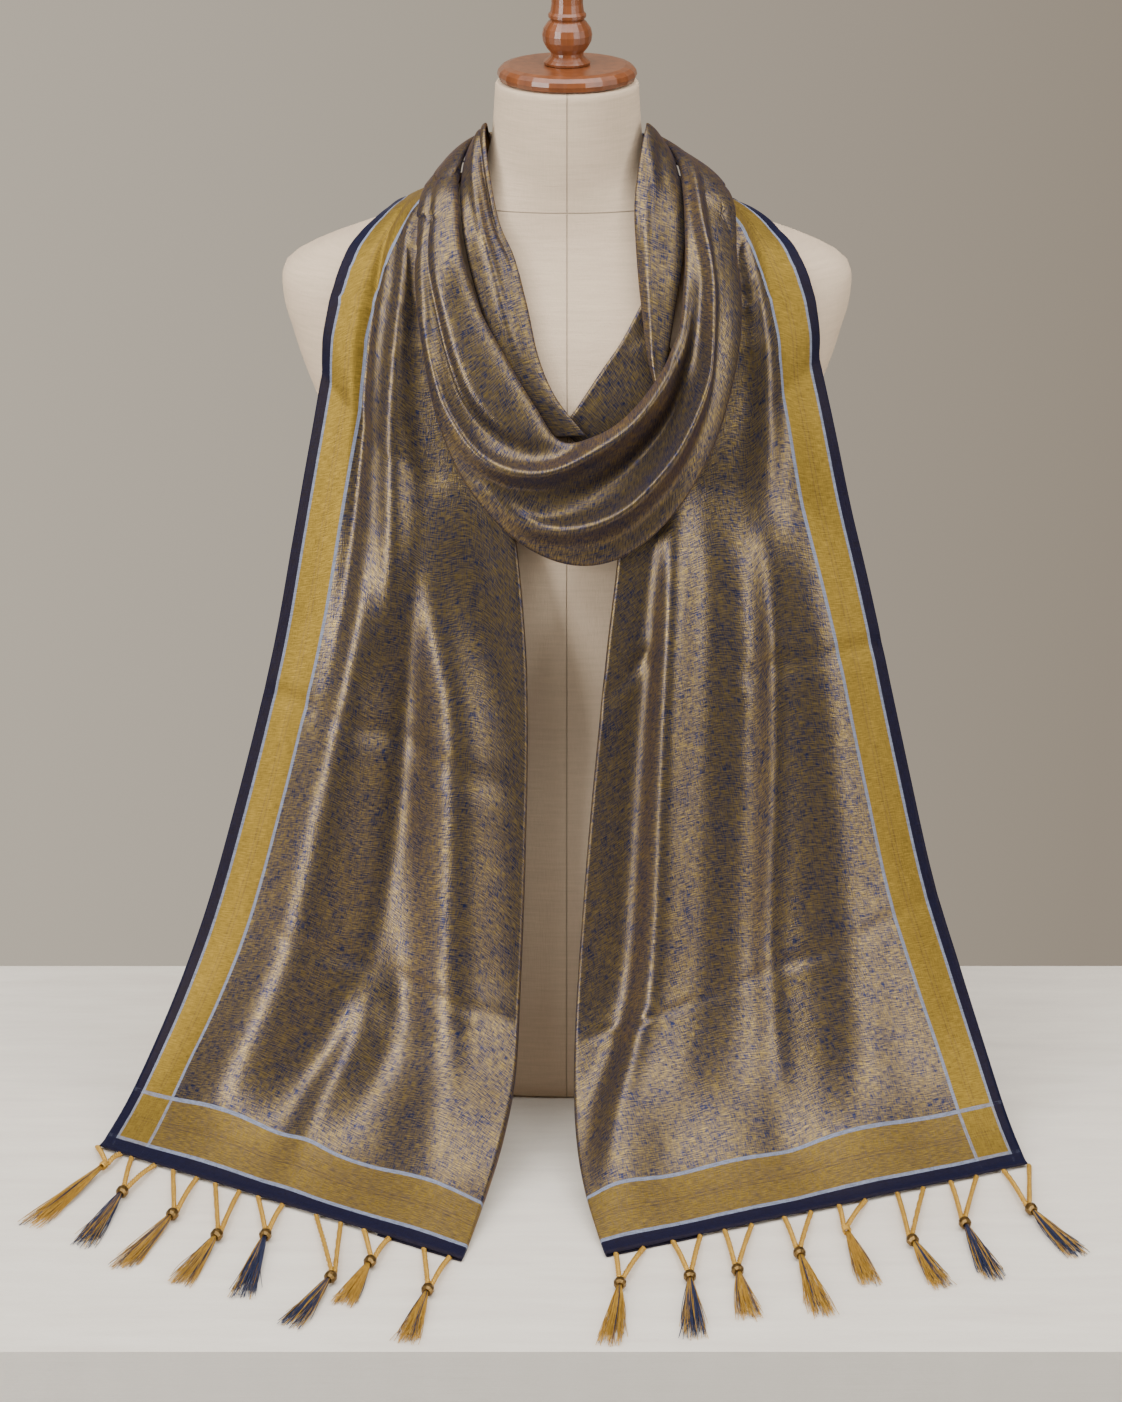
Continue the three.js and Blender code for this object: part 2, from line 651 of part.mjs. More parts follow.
// `root` is the place along the hem, 0 at the outer corner and 1 at the lengthwise fold. `bead` and
// `tip` are places on the table. Two tassels end in a plain knot.
const TASSELS = [
  { end: "left", root: 0.03, bead: [-336, -210], tip: [-379, -289], beaded: false, colour: GOLD },
  { end: "left", root: 0.13, bead: [-318, -247], tip: [-339, -316], beaded: true, colour: NAVY },
  { end: "left", root: 0.25, bead: [-279, -278], tip: [-309, -346], beaded: true, colour: GOLD },
  { end: "left", root: 0.37, bead: [-245, -306], tip: [-266, -365], beaded: true, colour: GOLD },
  { end: "left", root: 0.49, bead: [-211, -306], tip: [-222, -383], beaded: true, colour: NAVY },
  { end: "left", root: 0.65, bead: [-162, -361], tip: [-187, -418], beaded: true, colour: NAVY },
  { end: "left", root: 0.78, bead: [-136, -341], tip: [-153, -392], beaded: true, colour: GOLD },
  { end: "left", root: 0.94, bead: [-95, -377], tip: [-108, -438], beaded: true, colour: GOLD },
  { end: "right", root: 0.03, bead: [329, -271], tip: [356, -329], beaded: true, colour: NAVY },
  { end: "right", root: 0.16, bead: [280, -290], tip: [293, -359], beaded: true, colour: NAVY },
  { end: "right", root: 0.29, bead: [241, -313], tip: [258, -370], beaded: true, colour: GOLD },
  { end: "right", root: 0.43, bead: [196, -300], tip: [208, -366], beaded: false, colour: GOLD },
  { end: "right", root: 0.56, bead: [161, -330], tip: [173, -406], beaded: true, colour: GOLD },
  { end: "right", root: 0.7, bead: [117, -352], tip: [123, -410], beaded: true, colour: GOLD },
  { end: "right", root: 0.82, bead: [84, -360], tip: [85, -432], beaded: true, colour: NAVY },
  { end: "right", root: 0.95, bead: [36, -369], tip: [28, -440], beaded: true, colour: GOLD },
];
// Sections of a tassel: `of` is the leg it is on, `at` its place on that leg, then half sizes and centre height.
const TASSEL_SECTIONS = [
  { of: "cords", at: 0, wide: 9, thick: 1, height: 1.6 },
  { of: "cords", at: 0.45, wide: 5.2, thick: 1.5, height: 2.6 },
  { of: "cords", at: 1, wide: CORD_RADIUS, thick: CORD_RADIUS, height: 5.2 },
  { of: "brush", at: 0, wide: CORD_RADIUS, thick: CORD_RADIUS, height: 5.2 },
  { of: "brush", at: 0.3, wide: 5, thick: 3.2, height: 4.4 },
  { of: "brush", at: 0.7, wide: 8, thick: 2.6, height: 3.4 },
  { of: "brush", at: 1, wide: 9.5, thick: 1.2, height: 2 },
];
const BEAD_LENGTH = 8;
const KNOT_RADIUS = 3.4;

function hemPoint(end, root) {
  const hem = (end === "left" ? LEFT_END_SECTIONS : RIGHT_END_SECTIONS).at(-1);
  return new THREE.Vector3(...hem.first).lerp(new THREE.Vector3(...hem.second), root).setZ(0);
}

function tasselRings(tassel) {
  const root = hemPoint(tassel.end, tassel.root);
  const bead = new THREE.Vector3(...tassel.bead, 0);
  const tip = new THREE.Vector3(...tassel.tip, 0);
  const hem = hemPoint(tassel.end, 1).sub(hemPoint(tassel.end, 0)).normalize();
  const off = new THREE.Vector3(hem.y, -hem.x, 0);
  if (off.y > 0) off.negate();
  const way = tip.clone().sub(bead).normalize();
  const cordEnd = bead.clone().addScaledVector(way, -BEAD_LENGTH / 2 - 1);
  const brushStart = bead.clone().addScaledVector(way, BEAD_LENGTH / 2 + 1);
  root.addScaledVector(off, SEAM + 0.6);
  const knot = (s) => (tassel.beaded || s.wide !== CORD_RADIUS ? s.wide : KNOT_RADIUS);
  return TASSEL_SECTIONS.map((s, i) => {
    const [from, to] = s.of === "cords" ? [root, cordEnd] : [brushStart, tip];
    const centre = from.clone().lerp(to, s.at).setZ(s.height);
    const across = i === 0 ? hem.clone() : new THREE.Vector3(-way.y, way.x, 0);
    if (across.x < 0) across.negate();
    const up = new THREE.Vector3(0, 0, 1);
    const [wide, thick] = s.wide === CORD_RADIUS ? [knot(s), knot(s)] : [s.wide, s.thick];
    return Array.from({ length: 8 }, (_, k) => {
      const angle = (2 * Math.PI * k) / 8;
      return centre
        .clone()
        .addScaledVector(across, wide * Math.cos(angle))
        .addScaledVector(up, thick * Math.sin(angle));
    });
  });
}

const BEAD_OUTLINE = [
  [BEAD_HOLE, -BEAD_LENGTH / 2],
  [BEAD_RADIUS - 1.6, -BEAD_LENGTH / 2],
  [BEAD_RADIUS - 0.3, -BEAD_LENGTH / 4],
  [BEAD_RADIUS, 0],
  [BEAD_RADIUS - 0.3, BEAD_LENGTH / 4],
  [BEAD_RADIUS - 1.6, BEAD_LENGTH / 2],
  [BEAD_HOLE, BEAD_LENGTH / 2],
  [BEAD_HOLE, -BEAD_LENGTH / 2],
];

function bead(name, tassel) {
  const way = new THREE.Vector3(tassel.tip[0] - tassel.bead[0], tassel.tip[1] - tassel.bead[1], 0).normalize();
  const turn = new THREE.Quaternion().setFromUnitVectors(new THREE.Vector3(0, 1, 0), way);
  const points = BEAD_OUTLINE.map(([radius, height]) => new THREE.Vector2(radius, height));
  const geometry = new THREE.LatheGeometry(points, 10);
  geometry.applyQuaternion(turn).translate(tassel.bead[0], tassel.bead[1], 5.2);
  return named(name, geometry, 0x5a4a30, 0.4, 0.8);
}

// ---------------------------------------------------------------- the part
const part = new THREE.Group();
part.name = "dupatta_stole";
part.add(dressForm());
part.add(turned("neck_cap", CAP_OUTLINE, CAP_BASE, 0x8a4a24));
part.add(turned("finial", FINIAL_OUTLINE, CAP_BASE + CAP_THICKNESS + SEAM, 0x8a4a24));
for (const [name, make] of Object.entries(STRETCHES)) part.add(stretch(name, make));
const count = { left: 0, right: 0 };
for (const tassel of TASSELS) {
  const number = ++count[tassel.end];
  part.add(yarn(`tassel_${tassel.end}_${number}`, ringSolid(tasselRings(tassel)), tassel.colour));
  if (tassel.beaded) part.add(bead(`bead_${tassel.end}_${number}`, tassel));
}

export default part;
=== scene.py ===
"""A dupatta stole, looped once round the neck of a limbless dress form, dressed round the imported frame.

Tables and the sizes of pieces are in millimetres; meshes, materials and the stage are in metres. +Z is up,
the wearer's front faces -Y and the origin is the middle of the form's base. The cloth is built stretch by
stretch from short tables of sections and folds, and its pattern follows a UV map measured in metres from the
outer selvedge (U) and from the fringed hem (V).
"""

import logging
import math
from dataclasses import dataclass, field
from enum import Enum

import bpy
import numpy as np
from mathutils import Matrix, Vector


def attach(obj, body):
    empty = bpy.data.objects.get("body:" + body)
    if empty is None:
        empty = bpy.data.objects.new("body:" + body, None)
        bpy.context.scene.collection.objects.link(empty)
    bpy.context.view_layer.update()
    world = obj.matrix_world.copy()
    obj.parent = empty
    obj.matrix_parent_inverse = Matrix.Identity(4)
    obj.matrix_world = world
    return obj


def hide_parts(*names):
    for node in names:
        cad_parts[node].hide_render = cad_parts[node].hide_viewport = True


logging.basicConfig(level=logging.INFO, format="%(message)s")
log = logging.getLogger("dupatta")

MM = 0.001
CLOTH_MAP = "cloth"
ROOT = "root"

SETTLE_ROUNDS = 4
SETTLE_STEP = 0.5 * MM
TURN_STEPS = 9  # samples round the folded edge
NUDGE_ACROSS, NUDGE_ALONG = 0.02, 0.12  # steps that a sheet's directions are read over
WAVE_LENGTHS = (0.09, 0.07, 0.05, 0.04, 0.03, 0.024, 0.018, 0.014)
WAVES_EACH = 3
WAVE_TURN = 0.5  # spread of the waves' directions, in radians
WAVE_DRIFT, DRIFT_LENGTH = 0.8, 4.1  # how far a wave wanders, and over how many wave lengths
UNDER_CALM = 0.5  # how much less the hidden layer is rumpled


# ---------------------------------------------------------------- smooth tables
def smooth(values: np.ndarray, place: np.ndarray) -> np.ndarray:
    """Reads a table's column on a smooth curve through its rows.

    Args:
        values: One value, or one point, for each row.
        place: Places counted in rows.

    Returns:
        The values there, with the shape of place and then that of one row.
    """
    values = np.asarray(values, float)
    last = len(values) - 1
    row = np.clip(np.floor(place).astype(int), 0, last - 1)
    ends = np.concatenate([[2 * values[0] - values[1]], values, [2 * values[-1] - values[-2]]])
    a, b, c, d = (ends[row + k] for k in range(4))
    t = place - row
    t = t.reshape(t.shape + (1,) * (values.ndim - 1))
    return 0.5 * (2 * b + (c - a) * t + (2 * a - 5 * b + 4 * c - d) * t**2 + (3 * b - a - 3 * c + d) * t**3)


def unit(vectors: np.ndarray) -> np.ndarray:
    """Scales the vectors along the last axis to length 1."""
    return vectors / np.maximum(np.linalg.norm(vectors, axis=-1, keepdims=True), 1e-12)


# ---------------------------------------------------------------- the dress form's shape
@dataclass(frozen=True)
class FormSection:
    """One level cut of the covered form, a superellipse, in millimetres."""

    z: float
    half_width: float
    half_depth: float
    centre_y: float
    power: float


@dataclass(frozen=True)
class FormShape:
    """The covered form's surface, that the cloth is settled on."""

    sections: tuple[FormSection, ...] = (
        FormSection(0, 152, 101, 0, 2.3),
        FormSection(14, 158, 105, 0, 2.3),
        FormSection(90, 166, 110, 0, 2.3),
        FormSection(190, 156, 104, 0, 2.3),
        FormSection(300, 128, 90, 0, 2.3),
        FormSection(400, 141, 97, -2, 2.3),
        FormSection(480, 162, 104, -3, 2.4),
        FormSection(535, 182, 99, -2, 2.5),
        FormSection(580, 197, 87, 1, 2.6),
        FormSection(606, 203, 76, 3, 2.6),
        FormSection(622, 200, 68, 4, 2.5),
        FormSection(634, 180, 63, 5, 2.4),
        FormSection(648, 142, 58, 6, 2.3),
        FormSection(662, 105, 55, 6, 2.2),
        FormSection(677, 74, 53, 5, 2.1),
        FormSection(692, 59, 52, 3, 2.0),
        FormSection(712, 53, 51, 1, 2.0),
        FormSection(752, 50, 50, 0, 2.0),
    )

    def columns(self, z: np.ndarray) -> np.ndarray:
        """Reads the sections.

        Args:
            z: Heights in metres.

        Returns:
            Half width, half depth, centre Y and power there, on the last axis.
        """
        heights = np.array([s.z for s in self.sections]) * MM
        place = np.interp(z, heights, np.arange(len(heights)))
        sizes = [[s.half_width, s.half_depth, s.centre_y, s.power] for s in self.sections]
        return smooth(np.array(sizes) * [MM, MM, MM, 1], place)

    def share(self, points: np.ndarray) -> np.ndarray:
        """Says how far out points lie.

        Args:
            points: The points.

        Returns:
            1 on the surface, less inside it and more outside.
        """
        wide, deep, centre, power = np.moveaxis(self.columns(points[..., 2]), -1, 0)
        across = np.abs(points[..., 0] / wide) ** power
        through = np.abs((points[..., 1] - centre) / deep) ** power
        return (across + through) ** (1 / power)

    def settled(self, points: np.ndarray, clear: np.ndarray, above: np.ndarray) -> np.ndarray:
        """Moves points out of the form and up off the table.

        Args:
            points: The points to settle.
            clear: Least distance from the form at each point.
            above: Least height at each point.

        Returns:
            The settled points.
        """
        out = points.copy()
        step = SETTLE_STEP
        for _ in range(SETTLE_ROUNDS):
            share = self.share(out)
            slope = np.stack([(self.share(out + step * axis) - share) / step for axis in np.eye(3)], -1)
            steep = np.linalg.norm(slope, axis=-1)
            short = np.maximum(clear - (share - 1) / steep, 0)
            out += slope / steep[..., None] * short[..., None]
        out[..., 2] = np.maximum(out[..., 2], above)
        return out


FORM = FormShape()


# ---------------------------------------------------------------- stretches of cloth
class Profile(Enum):
    """How a stretch runs across."""

    FLAT = "flat"
    ROLL = "roll"
    FOLDED = "folded"


@dataclass(frozen=True)
class Section:
    """One cut across a stretch, from its first edge to its second, in millimetres."""

    first: tuple[float, float, float]
    second: tuple[float, float, float]
    crown: float = 0.0
    gap: float = 0.0


@dataclass(frozen=True)
class Fold:
    """A ridge or, with sign -1, a trough, along a run of (section, across, height in mm) rows."""

    name: str
    width: float
    run: tuple[tuple[float, float, float], ...]
    lean: float = 0.0
    sign: float = 1.0

    def offsets(self, place: np.ndarray, across: np.ndarray) -> tuple[np.ndarray, np.ndarray]:
        """Gives how far the fold lifts the cloth, and how far it leans over, at each sample.

        Args:
            place: Place along the stretch, in sections.
            across: Place across it, from 0 to 1.

        Returns:
            The lift and the lean, in metres.
        """
        rows = np.array(self.run)
        along = np.interp(place, rows[:, 0], np.arange(len(rows)))
        middle = smooth(rows[:, 1], along)
        height = np.maximum(smooth(rows[:, 2], along), 0) * self.sign * MM
        height = np.where((place <= rows[0, 0]) | (place >= rows[-1, 0]), 0, height)
        bell = np.exp(-(((across - middle) / self.width) ** 2))
        return height * bell, height * bell * self.lean


@dataclass(frozen=True)
class Crease:
    """A pressed fold line across a stretch, from one (section, across) place to another."""

    start: tuple[float, float]
    end: tuple[float, float]
    depth: float
    width: float = 0.1
    sink: float = 1.35
    shoulder: float = 0.55
    shoulder_width: float = 2.6
    fade: float = 8.0

    def offsets(self, place: np.ndarray, across: np.ndarray) -> np.ndarray:
        """Gives how far the line sinks, less a small lift beside it, at each sample.

        Args:
            place: Place along the stretch, in sections.
            across: Place across it, from 0 to 1.

        Returns:
            The lift, in metres.
        """
        share = (across - self.start[1]) / (self.end[1] - self.start[1])
        line = self.start[0] + (self.end[0] - self.start[0]) * share
        inside = np.clip(np.minimum(share, 1 - share) * self.fade + 1, 0, 1)
        x = (place - line) / self.width
        dip = self.sink * np.exp(-(x**2)) - self.shoulder * np.exp(-((x / self.shoulder_width) ** 2))
        return -self.depth * MM * inside * dip


@dataclass
class Stretch:
    """One stretch of the stole: a sheet lofted through its sections, with its folds and creases."""

    name: str
    sections: tuple[Section, ...]
    profile: Profile
    side: int
    clear: float
    along_steps: int
    across_steps: int
    folds: tuple[Fold, ...] = ()
    creases: tuple[Crease, ...] = ()
    thickness: float = 0.8
    floor_gap: float = 0.7
    under_share: float = 0.22
    tuck: float = 0.6
    rumple: float = 0.5
    relief: float = 1.0
    seed: int = 1
    map_from: tuple[float, float] = (0.0, 0.0)
    cut: tuple[float, float] = (0.3, 0.8)
    rests_on: tuple[str, ...] = ("dress_form",)

    def samples(self) -> np.ndarray:
        """Lays out the samples across the cloth.

        Returns:
            For each sample, its place across, its crown, and how far it is beyond and below the face.
        """
        steps = self.across_steps
        if self.profile is Profile.ROLL:
            angle = np.linspace(-self.tuck, math.pi + self.tuck, steps + 1)
            low = math.sin(self.tuck)
            flat = np.zeros_like(angle)
            return np.stack([(1 - np.cos(angle)) / 2, (np.sin(angle) + low) / (1 + low), flat, flat], 1)
        across = np.linspace(0, 1, steps + 1)
        face = np.stack([across, np.sin(math.pi * across), 0 * across, 0 * across], 1)
        if self.profile is Profile.FLAT:
            return face
        angle = np.linspace(0, math.pi, TURN_STEPS)[1:]
        turn = np.stack([angle * 0 + 1, angle * 0, np.sin(angle) / 2, (1 - np.cos(angle)) / 2], 1)
        back = 1 - np.linspace(0, self.under_share, max(4, int(steps * self.under_share)))[1:]
        under = np.stack([back, back * 0, back * 0, back * 0 + 1], 1)
        return np.concatenate([face, turn, under])

    def column(self, name: str, place: np.ndarray) -> np.ndarray:
        """Reads one column of the sections on a smooth curve."""
        return smooth(np.array([getattr(s, name) for s in self.sections]) * MM, place)

    def base(self, place: np.ndarray, across: np.ndarray) -> np.ndarray:
        """Gives the settled surface before its crown and folds.

        Args:
            place: Place along the stretch, in sections.
            across: Place across it, from 0 to 1.

        Returns:
            The points.
        """
        gap = self.column("gap", place)
        first, second = self.column("first", place), self.column("second", place)
        flat = first + (second - first) * across[..., None]
        lowest = self.floor_gap * MM + self.thickness * MM / 2 + gap
        return FORM.settled(flat, self.clear * MM + gap, lowest)

    def waves(self, u: np.ndarray, v: np.ndarray) -> np.ndarray:
        """Gives the small unevenness of the silk, from seeded waves over the cloth's own plane.

        Args:
            u: Distance across the cloth, in metres.
            v: Distance along it.

        Returns:
            The lift, in metres.
        """
        rng = np.random.default_rng(self.seed)
        total = np.zeros_like(u)
        for length in WAVE_LENGTHS:
            for _ in range(WAVES_EACH):
                turn = rng.normal(0, WAVE_TURN)
                phase = rng.uniform(0, 2 * math.pi, 2)
                way = (u * math.cos(turn) + v * math.sin(turn)) * 2 * math.pi / length
                drift = WAVE_DRIFT * np.sin(v * 2 * math.pi / (length * DRIFT_LENGTH) + phase[1])
                total += np.sin(way + phase[0] + drift) * length / WAVE_LENGTHS[0]
        return total / len(WAVE_LENGTHS) * self.rumple * MM

    def surface(self) -> tuple[np.ndarray, np.ndarray]:
        """Works out the sheet.

        Returns:
            The grid of points, rows along and columns across, and its map in metres.
        """
        table = self.samples()
        place = np.linspace(0, len(self.sections) - 1, self.along_steps + 1)[:, None] * np.ones(len(table))
        across = np.ones_like(place) * table[:, 0]
        crown, beyond, drop = (np.ones_like(place) * table[:, k] for k in (1, 2, 3))
        middle = self.base(place, across)
        step_across = self.base(place, across + NUDGE_ACROSS) - self.base(place, across - NUDGE_ACROSS)
        step_along = self.base(place + NUDGE_ALONG, across) - self.base(place - NUDGE_ALONG, across)
        out = unit(np.cross(step_along, step_across)) * self.side
        way = unit(step_across)
        gap = self.column("gap", place)
        lift = crown * self.column("crown", place) - drop * gap
        lean = beyond * gap
        for fold in self.folds:
            up, over = fold.offsets(place, across)
            lift += up * self.relief * (1 - drop)
            lean += over * self.relief * (1 - drop)
        for crease in self.creases:
            lift += crease.offsets(place, across) * (1 - drop)
        points = middle + out * lift[..., None] + way * lean[..., None]
        across_run = np.linalg.norm(np.diff(points, axis=1), axis=-1)
        along_run = np.linalg.norm(np.diff(points, axis=0), axis=-1)
        u = np.concatenate([np.zeros((len(points), 1)), np.cumsum(across_run, 1)], 1)
        v = np.concatenate([np.cumsum(along_run[::-1], 0)[::-1], np.zeros((1, points.shape[1]))], 0)
        if self.profile is not Profile.FOLDED:
            u -= u[:, u.shape[1] // 2][:, None]
            v = v.mean(1, keepdims=True) * np.ones_like(v)
        points += out * (self.waves(u, v) * (1 - UNDER_CALM * drop))[..., None]
        points[..., 2] = np.maximum(points[..., 2], (self.floor_gap + self.thickness / 2) * MM)
        return points, np.stack([u + self.map_from[0], v + self.map_from[1]], -1)

    def build(self, silk: bpy.types.Material) -> bpy.types.Object:
        """Makes the sheet's piece, dresses it and gives it its wall.

        Args:
            silk: The cloth's material.

        Returns:
            The new piece.
        """
        points, plane = self.surface()
        rows, columns = points.shape[:2]
        corner = (np.arange(rows - 1)[:, None] * columns + np.arange(columns - 1)).ravel()
        faces = np.stack([corner, corner + columns, corner + columns + 1, corner + 1], 1)
        if self.side < 0:
            faces = faces[:, ::-1]
        mesh = bpy.data.meshes.new(f"{self.name}_cloth")
        mesh.from_pydata(points.reshape(-1, 3).tolist(), [], faces.tolist())
        layer = mesh.uv_layers.new(name=CLOTH_MAP)
        loops = np.zeros(len(mesh.loops), int)
        mesh.loops.foreach_get("vertex_index", loops)
        layer.data.foreach_set("uv", plane.reshape(-1, 2)[loops].ravel())
        mesh.materials.append(silk)
        piece = bpy.data.objects.new(f"{self.name}_cloth", mesh)
        bpy.context.scene.collection.objects.link(piece)
        mesh.shade_smooth()
        wall = piece.modifiers.new("wall", "SOLIDIFY")
        wall.thickness, wall.offset = self.thickness * MM, 0
        return piece


@dataclass
class Stole:
    """The whole wound cloth, stretch by stretch."""

    stretches: tuple[Stretch, ...]
    pieces: dict[str, bpy.types.Object] = field(default_factory=dict)

    def build(self, silk: bpy.types.Material) -> None:
        """Builds every stretch in place of its node.

        Args:
            silk: The cloth's material.
        """
        for stretch in self.stretches:
            piece = stretch.build(silk)
            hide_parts(stretch.name)
            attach(piece, ROOT)
            self.pieces[stretch.name] = piece
            log.info("%s: %d faces", piece.name, len(piece.data.polygons))


LEFT_END = Stretch(
    "left_end",
    (
        Section((-110, 50, 653), (-66, 54, 668), 1, 2.6),
        Section((-127, 4, 660), (-80, 0, 680), 1, 2.6),
        Section((-147, -25, 644), (-84, -42, 664), 1, 2.6),
        Section((-158, -42, 612), (-80, -72, 636), 1, 2.6),
        Section((-170, -58, 568), (-72, -90, 596), 1, 2.6),
        Section((-182, -72, 508), (-58, -106, 545), 1, 3),
        Section((-195, -84, 441), (-42, -116, 480), 1.5, 3.4),
        Section((-207, -91, 378), (-34, -122, 400), 5, 5),
        Section((-221, -96, 318), (-31, -130, 320), 6, 5),
        Section((-242, -101, 240), (-33, -141, 212), 7, 5),
        Section((-264, -105, 165), (-37, -158, 108), 7, 5),
        Section((-286, -110, 104), (-40, -184, 64), 6, 5),
        Section((-309, -117, 50), (-47, -220, 36), 5, 4),
        Section((-327, -138, 17), (-58, -265, 16), 3, 3),
        Section((-343, -178, 1), (-74, -334, 1), 0, 2),
    ),
    Profile.FOLDED,
    side=1,
    clear=2.9,
    along_steps=220,
    across_steps=120,
    folds=(
        Fold(
            "outer ridge",
            0.14,
            (
                (4, 0.4, 0), (6, 0.4, 5), (8, 0.33, 9), (10, 0.31, 11), (12, 0.28, 10), (14, 0.3, 0),
            ),
        ),
        Fold(
            "inner ridge",
            0.13,
            (
                (5.6, 0.62, 0), (6.6, 0.64, 5), (8, 0.76, 9), (10, 0.82, 11), (12, 0.86, 10),
                (14, 0.88, 0),
            ),
        ),
        Fold("low middle ridge", 0.06, ((9, 0.6, 0), (11, 0.56, 4), (12.5, 0.53, 5), (14, 0.52, 0))),
        Fold(
            "shoulder ridge",
            0.07,
            (
                (1, 0.62, 0), (3, 0.58, 3), (5, 0.52, 4), (6.6, 0.5, 4), (8, 0.5, 0),
            ),
        ),
        Fold("valley", 0.1, ((6, 0.52, 0), (8, 0.55, 4), (10, 0.57, 4), (11, 0.7, 0)), sign=-1),
        Fold("side trough", 0.05, ((1, 0.36, 0), (3, 0.34, 2.5), (6, 0.3, 2.5), (9, 0.24, 0)), sign=-1),
    ),
    creases=(Crease((7.85, 0.08), (8.45, 0.93), 1.6), Crease((10.0, 0.3), (10.15, 0.98), 1.3)),
    seed=11,
    relief=1.9,
    cut=(0.25, 0.86),
    rests_on=("dress_form", "nape_under"),
)
RIGHT_END = Stretch(
    "right_end",
    (
        Section((110, 50, 653), (66, 54, 668), 1, 2.6),
        Section((128, 2, 662), (81, 0, 680), 1, 2.6),
        Section((149, -16, 650), (86, -42, 666), 1, 2.6),
        Section((160, -32, 628), (88, -70, 640), 1, 2.6),
        Section((173, -50, 585), (82, -90, 600), 1, 2.6),
        Section((188, -70, 524), (66, -106, 548), 1, 2.6),
        Section((201, -80, 466), (44, -116, 480), 1, 3.4),
        Section((214, -88, 415), (36, -124, 415), 4, 5),
        Section((227, -94, 360), (29, -130, 350), 5, 5),
        Section((248, -101, 270), (18, -138, 225), 6, 5),
        Section((268, -108, 188), (10, -152, 110), 6, 5),
        Section((289, -118, 122), (8, -176, 66), 6, 5),
        Section((309, -132, 62), (9, -214, 36), 5, 4),
        Section((324, -162, 20), (15, -262, 16), 3, 3),
        Section((335, -204, 1), (28, -328, 1), 0, 2),
    ),
    Profile.FOLDED,
    side=-1,
    clear=2.9,
    along_steps=220,
    across_steps=120,
    folds=(
        Fold(
            "pleat over the inner strip",
            0.08,
            (
                (5.8, 0.78, 0), (6.8, 0.76, 8), (8, 0.75, 12), (10, 0.76, 13), (12, 0.86, 12),
                (14, 0.95, 0),
            ),
            lean=0.6,
        ),
        Fold(
            "broad middle roll",
            0.14,
            (
                (5.8, 0.56, 0), (6.8, 0.55, 5), (8, 0.55, 8), (10, 0.6, 8), (12, 0.68, 6),
                (14, 0.72, 0),
            ),
        ),
        Fold(
            "soft outer ridge",
            0.13,
            (
                (6, 0.24, 0), (8, 0.24, 5), (10, 0.28, 8), (12, 0.34, 8), (14, 0.4, 0),
            ),
        ),
        Fold(
            "valley",
            0.06,
            (
                (6, 0.42, 0), (8, 0.41, 3), (10, 0.46, 4), (12, 0.5, 3), (14, 0.55, 0),
            ),
            sign=-1,
        ),
        Fold("shoulder ridge", 0.08, ((1, 0.5, 0), (3, 0.46, 3), (5, 0.4, 3), (7, 0.4, 0))),
    ),
    creases=(
        Crease((7.9, 0.02), (8.0, 0.5), 1.6),
        Crease((10.2, 0.02), (10.5, 0.9), 1.3),
        Crease((7.75, 0.86), (8.1, 1.0), 2),
    ),
    seed=12,
    relief=1.7,
    cut=(0.26, 0.86),
    rests_on=("dress_form", "nape_over"),
)
FRONT_LOOP = Stretch(
    "front_loop",
    (
        Section((-74, 48, 682), (-59, 42, 704), 5, 2),
        Section((-89, 10, 680), (-69, 6, 702), 7, 3),
        Section((-101, -40, 664), (-74, -24, 686), 11, 5),
        Section((-103, -70, 630), (-72, -72, 650), 13, 4),
        Section((-100, -90, 590), (-60, -88, 612), 14, 2),
        Section((-90, -108, 540), (-42, -100, 580), 14, 2),
        Section((-70, -116, 495), (-22, -110, 549), 15, 2),
        Section((-36, -120, 456), (-4, -116, 526), 14, 2),
        Section((4, -122, 438), (20, -118, 531), 14, 2),
        Section((42, -124, 446), (46, -114, 550), 14, 2),
        Section((76, -121, 478), (68, -108, 580), 14, 2),
        Section((103, -108, 528), (76, -104, 604), 14, 2),
        Section((117, -92, 584), (79, -88, 636), 13, 3),
        Section((117, -62, 636), (80, -62, 662), 12, 4),
        Section((111, -20, 672), (78, -22, 690), 11, 5),
        Section((91, 12, 681), (70, 8, 702), 7, 3),
        Section((74, 48, 682), (59, 42, 704), 5, 2),
    ),
    Profile.ROLL,
    side=1,
    clear=8.4,
    along_steps=240,
    across_steps=110,
    folds=(
        Fold(
            "ridge that turns up into the upper lip",
            0.09,
            (
                (3.5, 0.06, 0), (5, 0.12, 7), (6, 0.3, 13), (7, 0.7, 18), (8, 0.9, 15), (9, 0.92, 13),
                (10, 0.92, 7), (11, 0.92, 0),
            ),
            lean=0.3,
        ),
        Fold(
            "lip of the lower roll",
            0.09,
            (
                (6, 0.14, 0), (7, 0.2, 6), (8, 0.3, 14), (9, 0.33, 18), (10, 0.36, 19), (11, 0.5, 17),
                (12, 0.67, 12), (13, 0.8, 7), (14.5, 0.85, 0),
            ),
            lean=0.35,
        ),
        Fold(
            "pocket between the lips",
            0.13,
            (
                (6.5, 0.42, 0), (8, 0.58, 8), (9, 0.62, 12), (10, 0.64, 11), (11, 0.76, 6),
                (12, 0.86, 0),
            ),
            sign=-1,
        ),
        Fold(
            "trough of the left band",
            0.1,
            (
                (1, 0.45, 0), (3, 0.36, 3), (5, 0.36, 7), (6, 0.56, 6), (7, 0.92, 0),
            ),
            sign=-1,
        ),
    ),
    map_from=(0.3, 1.0),
    seed=13,
    cut=(0.09, 0.72),
    rests_on=("dress_form", "left_end", "right_end"),
)
